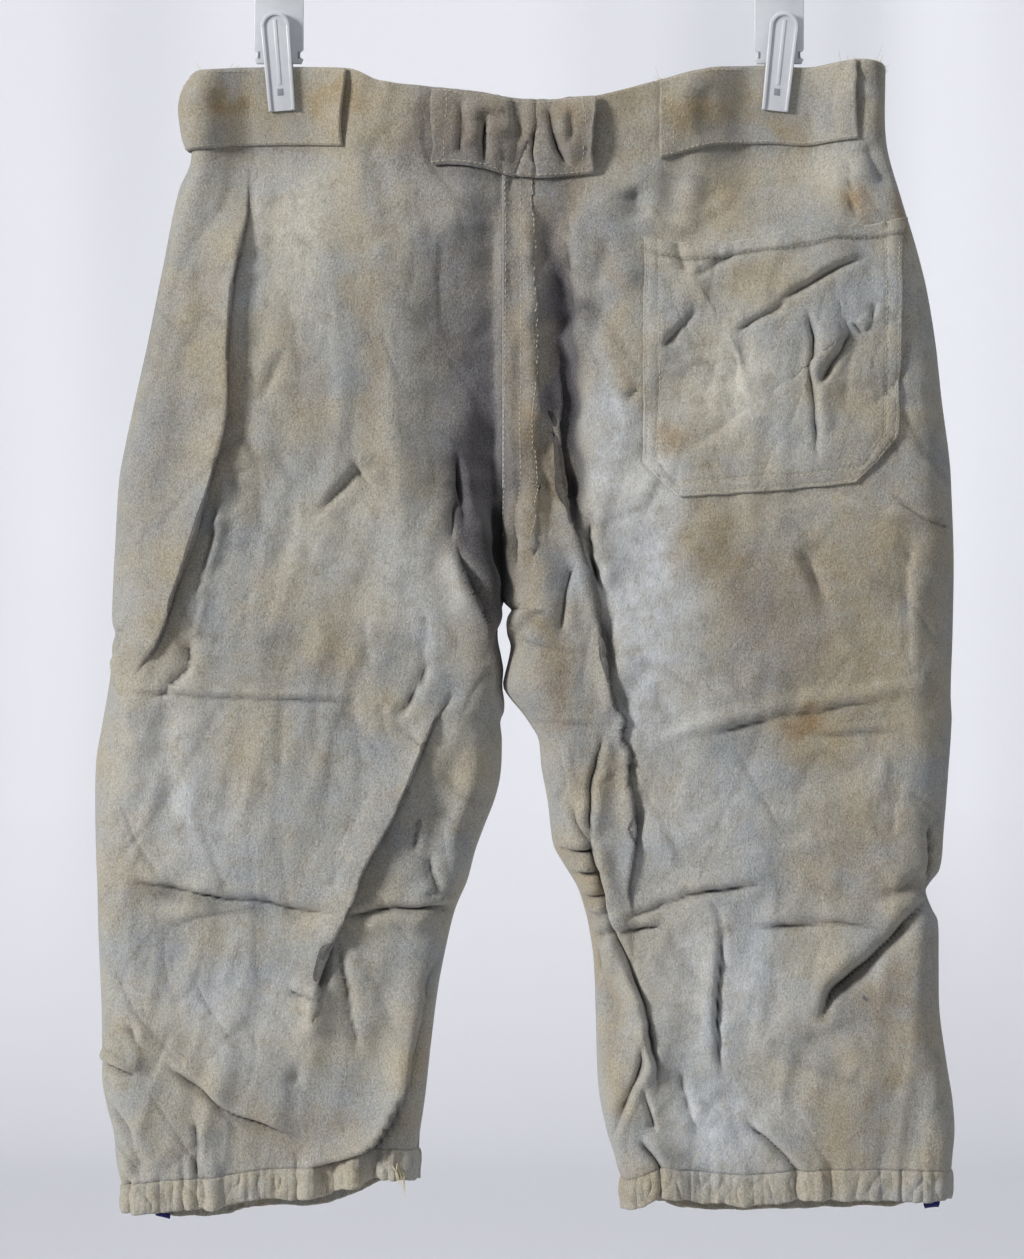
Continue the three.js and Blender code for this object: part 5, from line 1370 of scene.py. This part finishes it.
def make_casings():
    """The gathered casing that runs round each leg's end."""
    share = np.linspace(0, 1, CASING["rows"])[:, None]
    bulge = np.sin(np.pi * share) ** 0.7
    for name in LEGS:
        # Round the leg: the back's lower edge, then the front's in the other direction
        edges = []
        for panel, order in ((f"back_{name}", 1), (f"front_{name}", -1)):
            surface = SURFACES[panel]
            pleats = gathers(surface.x[-1], PANEL_SEEDS[panel] + GATHER["seed"])
            edges.append([values[::order] for values in (surface.points[-1], surface.normals[-1], pleats)])
        line, outward, wave = map(np.concatenate, zip(*edges))
        steps = np.hypot(*np.diff(np.vstack([line, line[:1]]), axis=0)[:, :2].T)
        ways = np.concatenate([[0], np.cumsum(steps)])
        evenly = np.linspace(0, ways[-1], CASING["columns"], endpoint=False)

        def around(values):
            return np.interp(evenly, ways, np.append(values, values[0]))

        ring = np.stack([around(line[:, k]) for k in range(3)], -1)
        out = np.stack([around(outward[:, k]) for k in range(3)], -1)
        out /= np.linalg.norm(out, axis=-1, keepdims=True)
        pleat = around(wave)
        fine = 0.35 * noise(evenly, evenly * 0, 4, 7000)
        puckers = np.abs(noise(evenly[None, :], share * CASING["pucker_span"], 5, 7002)) ** 0.8
        broken = 1.6 * puckers - 0.5
        rise = (pleat * GATHER["rise"] + fine) * (1 - 0.75 * bulge) + (0.7 + broken) * bulge
        rise = rise - rise[:1] * (share < 0.01)
        sag = 0.9 * noise(evenly, evenly * 0, 12, 7003) + 0.6 * pleat
        points = ring[None] + out[None] * rise[..., None]
        points[..., 2] -= CASING["gap"] + share * (CASING_HEIGHT - 1 + sag * share)
        normals = grid_normals(points, out[None], ring=True)
        thick = SHELL * mix(0.9, 1, smooth(np.minimum(share, 1 - share) * 8))
        piece = cloth_piece(f"hem_casing_{name}_cloth", points, normals, points[..., 0],
                            WAIST_Z - points[..., 2], CASING_MATERIAL, "casing", thick, ring=True)
        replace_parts(piece, f"hem_casing_{name}")


# From and to X of each braid's end, and how far it hangs below the casing's own edge
BRAID_END = {"left": (-244.5, -235.5, 0), "right": (259.5, 268, 4.5)}
BRAID_LOOP = {"half": 3.2, "rise": 6, "back": 6, "thick": 1.2}


def make_braid_ends():
    """The braid's end is folded round the lower edge of each front casing."""
    half = BRAID_LOOP["half"]
    around = [(half, 2 * BRAID_LOOP["rise"]), (half, BRAID_LOOP["rise"])]
    around += [(half * math.cos(t), -half * math.sin(t)) for t in np.linspace(0, math.pi, 9)]
    around.append((-half, BRAID_LOOP["back"]))
    across, up = np.array(around).T[..., None]
    for name, (low, high, fall) in BRAID_END.items():
        front = SURFACES[f"front_{name}"]
        order = np.argsort(front.x[-1])
        hem_x, hem = front.x[-1][order], front.points[-1][order]
        xs = np.linspace(low, high, 8)
        middle_y, middle_z = (np.interp(xs, hem_x, hem[:, k]) for k in (1, 2))
        y = middle_y[None] + across
        z = middle_z[None] - CASING_HEIGHT + 1 - fall + up
        x = np.broadcast_to(xs[None], y.shape)
        points = np.stack([x, y, z], -1)
        normals = grid_normals(points, np.stack([0 * x, y - middle_y[None], z - z.mean()], -1))
        piece = cloth_piece(f"braid_end_{name}", points, normals, x, WAIST_Z - z, BRAID_MATERIAL, "braid",
                            BRAID_LOOP["thick"])


# ---- Stitches and loose threads ----

THREAD = {"radius": 0.36, "length": 2.4, "gap": 1.1, "sides": 5}


def tube_rings(line, radius, sides):
    """Rings of points about a short line of thread."""
    ahead = np.gradient(line, axis=0)
    ahead /= np.maximum(np.linalg.norm(ahead, axis=1, keepdims=True), 1e-9)
    up = np.cross(ahead, (0.3, 1, 0.2))
    up /= np.linalg.norm(up, axis=1, keepdims=True)
    across = np.cross(ahead, up)
    turns = 2 * np.pi * np.arange(sides) / sides
    ring = up[:, None] * np.cos(turns)[None, :, None] + across[:, None] * np.sin(turns)[None, :, None]
    return line[:, None] + ring * radius[:, None, None]


def threads_mesh(name, lines, radius, material):
    """Many short threads as one mesh."""
    points, faces = [], []
    sides = THREAD["sides"]
    start = 0
    for line in lines:
        share = np.linspace(0, 1, len(line))
        taper = radius * mix(0.55, 1, smooth(np.minimum(share, 1 - share) * 4))
        points.append(tube_rings(line, taper, sides).reshape(-1, 3))
        faces.append(grid_quads(len(line), sides, ring=True)[:, TURNED] + start)
        start += len(points[-1])
    add_mesh(name, np.vstack(points), np.vstack(faces), material, "flannel")


def stitch_lines(points, normals, lift, keep=1.0, seed=0):
    """Short threads laid end to end along a line on a surface."""
    steps = np.linalg.norm(np.diff(points, axis=0), axis=1)
    ways = np.concatenate([[0], np.cumsum(steps)])
    draw = np.random.default_rng(SEED + seed)
    lines = []
    at = 0.0
    while at + THREAD["length"] < ways[-1]:
        if draw.uniform() < keep:
            along = np.linspace(at, at + THREAD["length"], 4)
            line = np.stack([np.interp(along, ways, points[:, k]) for k in range(3)], -1)
            out = np.stack([np.interp(along, ways, normals[:, k]) for k in range(3)], -1)
            sink = np.array([-0.25, 0.12, 0.12, -0.25])[:, None]
            lines.append(line + out * (lift + sink) + draw.normal(0, 0.1, 3))
        at += THREAD["length"] + THREAD["gap"]
    return lines


FELL_STITCHES = (1.2, 11.5, 19)
POCKET_STITCHES = {"insets": (2, 9), "band_row": 9}
TUNNEL_END_STITCHES = (5, -6)


def make_stitches(tunnels, pocket):
    """Rows of sewing on the felled seam, the pocket and the tunnels, as one mesh."""
    drops = np.linspace(58, CROTCH_DROP - 40, 150)
    lines = []
    for way in FELL_STITCHES:
        xs = np.full_like(drops, SEAM_X + way) + 0.5 * noise(drops, drops * 0, 30, 71)
        lines += stitch_lines(*SURFACES["back_right"].at(xs, drops), SHELL / 2, 0.85, 11)
    points, normals = pocket
    for inset in POCKET_STITCHES["insets"]:
        lines += pocket_stitches(points, normals, inset)
    row = POCKET_STITCHES["band_row"]
    lines += stitch_lines(points[row, 3:-3], normals[row, 3:-3], SHELL / 2 + 0.1, 0.9, 15)
    for points, normals in tunnels:
        lines += stitch_lines(points[-2], normals[-2], SHELL / 2, 0.9, 17)
        lines += stitch_lines(points[1], normals[1], SHELL / 2, 0.8, 18)
        for column in TUNNEL_END_STITCHES:
            lines += stitch_lines(points[:, column], normals[:, column], SHELL / 2, 0.9, 19)
    threads_mesh("seam_stitches", lines, THREAD["radius"], THREAD_MATERIAL)


def pocket_stitches(points, normals, inset):
    """A row of stitches down one side of the pocket, along its base and up the other side."""
    rows, columns = points.shape[:2]
    down = [(r, inset) for r in range(2, rows - inset)]
    along = [(rows - 1 - inset, c) for c in range(inset, columns - inset)]
    up = [(r, columns - 1 - inset) for r in range(rows - 1 - inset, 1, -1)]
    order = np.array(down + along + up)
    line, out = points[order[:, 0], order[:, 1]], normals[order[:, 0], order[:, 1]]
    return stitch_lines(line, out, SHELL / 2, 0.92, 21 + inset)


# From and to X of the frayed places of the waist's edge, with how many threads each has
FRAYS = ((200, 236, 34), (78, 90, 10), (-216, -190, 5))
HEM_THREADS = pairs("394,1160 397,1158 400,1162 402,1166 404,1170")


def make_frays():
    """Loose threads along the waist's worn edge and at the left hem."""
    draw = np.random.default_rng(SEED + 80)
    edge_lines, cream_lines = [], []
    t = np.linspace(0, 1, 6)[:, None]
    for low, high, count in FRAYS:
        for _ in range(count):
            x = draw.uniform(low, high)
            panel = SURFACES["back_right" if x > SEAM_X else "back_left"]
            x = min(x, outer_x(LEGS["right"], 5.0) - 1)
            start, out = panel.at(x, waist_drop(x) + draw.uniform(0, 2))
            heading = draw.normal(0, 1, 3) * (1, 0.5, 0.35) + (0, 0, 0.5)
            heading /= np.linalg.norm(heading)
            length = draw.uniform(1.5, 5)
            bend = draw.normal(0, 0.7, 3)
            edge_lines.append(start + out * 0.6 + (heading * t + bend * t * t) * length)
    t = np.linspace(0, 1, 8)[:, None]
    for px, py in HEM_THREADS:
        x, drop = plane((px, py))
        start, _ = SURFACES["back_left"].at(x, min(drop, 700))
        ahead = np.array([draw.uniform(1, 4), -2.4, -1.0])
        fall = ahead * t + np.array([0, 0, -10 - draw.uniform(0, 3)]) * t**1.5
        start = np.array([x, start[1] - 2.0, WAIST_Z - drop])
        cream_lines.append(start + fall + 0.7 * np.sin(5 * t + px) * (1, 0, 0))
    threads_mesh("frayed_threads", edge_lines, 0.14, CREAM_THREAD)
    threads_mesh("hem_threads", cream_lines, 0.34, CREAM_THREAD)


# ---- Hanger and clips ----

JAW = {
    "width": 19, "top": 36, "bottom": 29, "face": 4.8, "plate": 1.8, "rim": 2.2, "rim_rise": 1.3,
    "foot_share": 0.9, "hole_shade_patch": (-2, -19, 2, -14.5), "ridge": (-1.1, -12, 1.1), "ridge_past_spring": 4,
}
YOKE = {"notch": 2.2, "cheek": 18, "cheek_thick": 2.4, "base": (19.6, 17.2), "tail_top": 16, "mark": (3.4, 8)}
# Degrees that the clips lean, and the angle below which plastic is shaded smooth
LEANS = {"left": -4.5, "right": 6.2}
SMOOTH_BELOW = 35


def rectangle(left, low, right, high):
    return [(left, low), (right, low), (right, high), (left, high)]


def bevelled(bm, offset, sharp_angle):
    """Softens the edges whose faces meet at more than an angle."""
    sharp = [edge for edge in bm.edges if edge.calc_face_angle(0) > sharp_angle]
    bmesh.ops.bevel(bm, geom=sharp, offset=offset, segments=3, affect="EDGES", profile=0.5)


def extruded(name, outline, from_y, to_y, bevel, material=PLASTIC_MATERIAL, place=(0, 0), lean=0.0):
    """A plate with softened edges, from its outline in the X-Z plane."""
    bm = bmesh.new()
    face = bm.faces.new([bm.verts.new((x, from_y, z)) for x, z in outline])
    for item in bmesh.ops.extrude_face_region(bm, geom=[face])["geom"]:
        if isinstance(item, bmesh.types.BMVert):
            item.co.y = to_y
    bmesh.ops.recalc_face_normals(bm, faces=bm.faces[:])
    bevelled(bm, bevel, 0.6)
    turn = math.radians(lean)
    for vert in bm.verts:
        x, y, z = vert.co
        turned = (x * math.cos(turn) + z * math.sin(turn), y, z * math.cos(turn) - x * math.sin(turn))
        vert.co = (Vector(turned) + Vector((place[0], 0, place[1]))) * MM
    return bm_piece(name, bm, "plastic", material, smooth_below=SMOOTH_BELOW)


def half_round(radius, centre_z, steps):
    """The points of a half circle, anticlockwise from its right end."""
    turns = [math.pi * k / steps for k in range(steps + 1)]
    return [(radius * math.cos(t), centre_z + radius * math.sin(t)) for t in turns]


def make_jaw(name, side):
    """One jaw of a clip: side is -1 for the one on the garment's back, 1 for the one on its front."""
    node = f"clip_{name}_{'back' if side < 0 else 'front'}"
    place = (CLIP_X * LEGS[name].sign, WAIST_Z)
    plate = JAW["plate"]
    rise = plate + JAW["rim_rise"]
    half = JAW["width"] / 2
    spring = JAW["top"] - half
    foot = -JAW["bottom"]

    def part(word, outline, near, far, bevel, material=PLASTIC_MATERIAL):
        ys = sorted(side * (JAW["face"] + way) for way in (near, far))
        return extruded(f"{node}_{word}", outline, *ys, bevel, material, place, LEANS[name])

    foot_half = half * JAW["foot_share"]
    outline = [(-foot_half, foot), (foot_half, foot), *half_round(half, spring, 14)]
    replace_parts(part("jaw_plate", outline, 0, plate, 0.5), f"{node}_jaw")
    outer = half - 0.2
    inner = outer - JAW["rim"]
    for sign, word in ((-1, "rim_low"), (1, "rim_high")):
        rim = [(sign * outer, spring), (sign * inner, spring), (sign * inner * JAW["foot_share"], foot + 0.3),
               (sign * outer * JAW["foot_share"], foot + 0.3)]
        part(word, rim, plate - 0.2, rise, 0.45)
    crown = half_round(outer, spring - 0.4, 16) + half_round(inner, spring - 0.4, 16)[::-1]
    part("crown", crown, plate - 0.2, rise, 0.4)
    # A patch painted as the shade of the jaw's inner hole
    part("grip", rectangle(*JAW["hole_shade_patch"]), plate - 0.4, plate + 0.25, 0.3, HOLE_SHADE_MATERIAL)
    ridge = rectangle(*JAW["ridge"], spring + JAW["ridge_past_spring"])
    part("ridge", ridge, plate - 0.3, plate + 0.5, 0.35)


def make_yoke(name):
    """The part of a clip over its jaws: a notched tail between two cheeks, with a cap and a base."""
    node = f"clip_{name}_yoke"
    low, high = box_mm(node)
    place = ((low[0] + high[0]) / 2, 0)
    half = (high[0] - low[0]) / 2
    top, bottom = high[2], low[2]
    tail_top = top - YOKE["tail_top"]

    def part(word, outline, near, far, bevel, material=PLASTIC_MATERIAL):
        return extruded(f"{node}_{word}", outline, near, far, bevel, material, place)

    edge = [(half - 1.5, 0), (half, 3), (half - YOKE["notch"], 4.5), (half - YOKE["notch"], 7.5), (half, 9)]
    right = [(x, bottom + z) for x, z in edge] + [(half, tail_top)]
    left = [(-x, z) for x, z in reversed(right)]
    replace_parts(part("tail", left + right, -1.5, 1.5, 0.5), node)
    cheek = rectangle(-half, top - YOKE["cheek"], half, top)
    part("cheek_near", cheek, low[1], low[1] + YOKE["cheek_thick"], 0.7)
    part("cheek_far", cheek, high[1] - YOKE["cheek_thick"], high[1], 0.7)
    part("cap", rectangle(-half, top - YOKE["cheek_thick"], half, top), low[1] + 1, high[1] - 1, 0.5)
    base_low, base_high = (top - way for way in YOKE["base"])
    part("base", rectangle(-half, base_low, half, base_high), low[1] + 1, high[1] - 1, 0.5)
    # Patches painted as the shade in the yoke's slots
    for sign, word in ((-1, "slot_low"), (1, "slot_high")):
        x = sign * (half - 3)
        mark_low, mark_high = (bottom + way for way in YOKE["mark"])
        part(word, rectangle(x - 0.7, mark_low, x + 0.7, mark_high), -1.75, 1.75, 0.2, HOLE_SHADE_MATERIAL)


HOOK = {"wire": 2, "inside": 22, "from": -70, "to": 180, "rise": 10, "sides": 20}
COLLAR = {"low_radius": 6, "high_radius": 4.8, "segments": 40}


def make_hook():
    """A round wire that rises out of the collar and bends round the rail."""
    low, _ = box_mm("hanger_hook")
    sides = HOOK["sides"]
    radius = HOOK["inside"] + HOOK["wire"]
    centre = HOOK["wire"] - radius
    turns = np.radians(np.linspace(HOOK["from"], HOOK["to"], 60))
    arc = np.stack([radius * np.cos(turns), 0 * turns, centre + radius * np.sin(turns)], -1)
    foot = np.array([0, 0, centre - radius - HOOK["rise"]])
    t = np.linspace(0, 1, 14)[1:-1, None]
    bend = foot * (1 - t) ** 2 + np.array([0, 0, centre - radius + 1]) * 2 * t * (1 - t) + arc[0] * t**2
    shank = np.stack([np.zeros(20), np.zeros(20), np.linspace(low[2], foot[2], 20)], -1)
    line = np.vstack([shank, bend, arc])
    rings = tube_rings(line, np.full(len(line), float(HOOK["wire"])), sides).reshape(-1, 3)
    points = np.vstack([rings, line[:1], line[-1:]])
    last = len(rings) - sides
    faces = grid_quads(len(line), sides, ring=True)[:, TURNED].tolist()
    faces += [(len(rings), (k + 1) % sides, k) for k in range(sides)]
    faces += [(len(rings) + 1, last + k, last + (k + 1) % sides) for k in range(sides)]
    mesh = bpy.data.meshes.new("hanger_hook_wire")
    mesh.from_pydata((points * MM).tolist(), [], faces)
    mesh.shade_smooth()
    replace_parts(link_piece("hanger_hook_wire", mesh, "steel", STEEL_MATERIAL), "hanger_hook")


def make_bar():
    """The hanger's bar and the collar that holds the hook."""
    low, high = box_mm("hanger_bar")
    outline = rectangle(low[0], low[2], high[0], high[2])
    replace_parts(extruded("hanger_bar_body", outline, low[1], high[1], 1.8), "hanger_bar")
    low, high = box_mm("hook_collar")
    bm = bmesh.new()
    bmesh.ops.create_cone(bm, cap_ends=True, segments=COLLAR["segments"], radius1=COLLAR["low_radius"],
                          radius2=COLLAR["high_radius"], depth=high[2] - low[2])
    bevelled(bm, 0.7, 0.8)
    for vert in bm.verts:
        vert.co = (vert.co + Vector((0, 0, (low[2] + high[2]) / 2))) * MM
    collar = bm_piece("hook_collar_body", bm, "plastic", PLASTIC_MATERIAL, smooth_below=SMOOTH_BELOW)
    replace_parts(collar, "hook_collar")


# ---- Stage, light and camera ----

FLOOR_Z = -1350
WORLD = {"light": 0.05, "seen": 0.72}
SWEEP = {
    "side": 3000, "front": -1200, "back": 3900, "bend": 900, "top": 1900, "columns": 120, "rows": 70,
    "straight_rows": 20,
}
# Name, place, target, size in metres, watts and colour of each light
GARMENT_MIDDLE = (0.0, 0.0, -0.55)
LIGHTS = (
    ("key", (-5.6, -3.5, 1.5), GARMENT_MIDDLE, (1.4, 1.7), 440, (1.0, 0.99, 0.975)),
    ("fill", (1.8, -2.6, 0.0), GARMENT_MIDDLE, (1.6, 1.6), 12, (0.93, 0.96, 1.0)),
    ("top", (0.3, -0.8, 1.7), (0.1, -0.15, -0.9), (1.6, 1.0), 15, (0.98, 0.98, 1.0)),
    ("backdrop", (0.5, 1.0, 1.7), (0.2, 3.8, -0.6), (3.0, 1.6), 34, (0.96, 0.97, 1.0)),
)
DISTANCE = 2300


def make_stage():
    """A pale floor that sweeps up, far behind the garment, into a soft backdrop."""
    across = np.linspace(-SWEEP["side"], SWEEP["side"], SWEEP["columns"])
    run = SWEEP["back"] - SWEEP["bend"] - SWEEP["front"]
    arc = SWEEP["bend"] * math.pi / 2
    straight = SWEEP["straight_rows"]
    way = np.concatenate([np.linspace(0, run, straight), run + arc * spread(SWEEP["rows"], 0, 0)[1:-straight],
                          np.linspace(run + arc, run + arc + SWEEP["top"], straight)])
    turn = np.clip((way - run) / SWEEP["bend"], 0, math.pi / 2)
    y = np.where(way < run, SWEEP["front"] + way, SWEEP["back"] - SWEEP["bend"] * (1 - np.sin(turn)))
    z = SWEEP["bend"] * (1 - np.cos(turn)) + np.clip(way - run - arc, 0, None)
    x, y = np.meshgrid(across, y)
    z = np.broadcast_to(z[:, None], x.shape)
    upright = smooth((z - 60) / 500)
    waves = 60 * noise(x, z * 0.1, 420, 8000) + 22 * noise(x, z * 0.15, 170, 8001)
    points = np.stack([x, y + waves * upright, FLOOR_Z + z], -1).reshape(-1, 3)
    mesh = bpy.data.meshes.new("sweep")
    faces = grid_quads(len(way), SWEEP["columns"])[:, TURNED]
    mesh.from_pydata((points * MM).tolist(), [], faces.tolist())
    mesh.shade_smooth()
    n = Nodes("pale sweep")
    n.set(Base_Color=linear(244, 245, 250), Roughness=0.9, Specular_IOR_Level=0.1)
    mesh.materials.append(n.material)
    sweep = bpy.data.objects.new("sweep", mesh)
    bpy.context.scene.collection.objects.link(sweep)


def area_light(name, place, target, size, watts, colour):
    """A soft light at a place in metres, aimed at its target."""
    light = bpy.data.lights.new(name, "AREA")
    light.shape = "RECTANGLE"
    light.size, light.size_y = size
    light.energy = watts
    light.color = colour
    lamp = bpy.data.objects.new(name, light)
    lamp.location = place
    lamp.rotation_euler = (Vector(target) - Vector(place)).to_track_quat("-Z", "Y").to_euler()
    bpy.context.scene.collection.objects.link(lamp)


def make_lights():
    """The four lights, and a world that is paler where the camera sees it than where it lights."""
    for light in LIGHTS:
        area_light(*light)
    world = bpy.data.worlds.new("studio")
    world.use_nodes = True
    tree = world.node_tree
    background = tree.nodes["Background"]
    background.inputs["Color"].default_value = (0.9, 0.92, 1.0, 1)
    rays = tree.nodes.new("ShaderNodeLightPath")
    strength = tree.nodes.new("ShaderNodeMapRange")
    strength.inputs["To Min"].default_value = WORLD["light"]
    strength.inputs["To Max"].default_value = WORLD["seen"]
    tree.links.new(rays.outputs["Is Camera Ray"], strength.inputs["Value"])
    tree.links.new(strength.outputs["Result"], background.inputs["Strength"])
    bpy.context.scene.world = world


def make_camera():
    """The photograph's own view, square on to the garment's back."""
    camera = bpy.data.cameras.new("photo camera")
    camera.sensor_fit = "VERTICAL"
    camera.sensor_height = 24
    camera.lens = camera.sensor_height * DISTANCE / (PHOTO_HEIGHT * PIXEL)
    camera.clip_end = 20
    viewer = bpy.data.objects.new("photo camera", camera)
    x, drop = plane(PHOTO_CENTRE)
    viewer.location = (x * MM, -DISTANCE * MM, (WAIST_Z - drop) * MM)
    viewer.rotation_euler = (math.pi / 2, 0, 0)
    bpy.context.scene.collection.objects.link(viewer)
    bpy.context.scene.camera = viewer


make_camera()
make_lights()
make_stage()
make_panels()
tunnels = make_tunnels()
pocket = make_pocket()
make_placket()
make_braids()
make_button()
make_casings()
make_braid_ends()
make_stitches(tunnels, pocket)
make_frays()
make_hook()
make_bar()
for clip in LEANS:
    make_yoke(clip)
    make_jaw(clip, -1)
    make_jaw(clip, 1)

bpy.context.scene.view_settings.view_transform = "Standard"
bpy.context.view_layer.update()
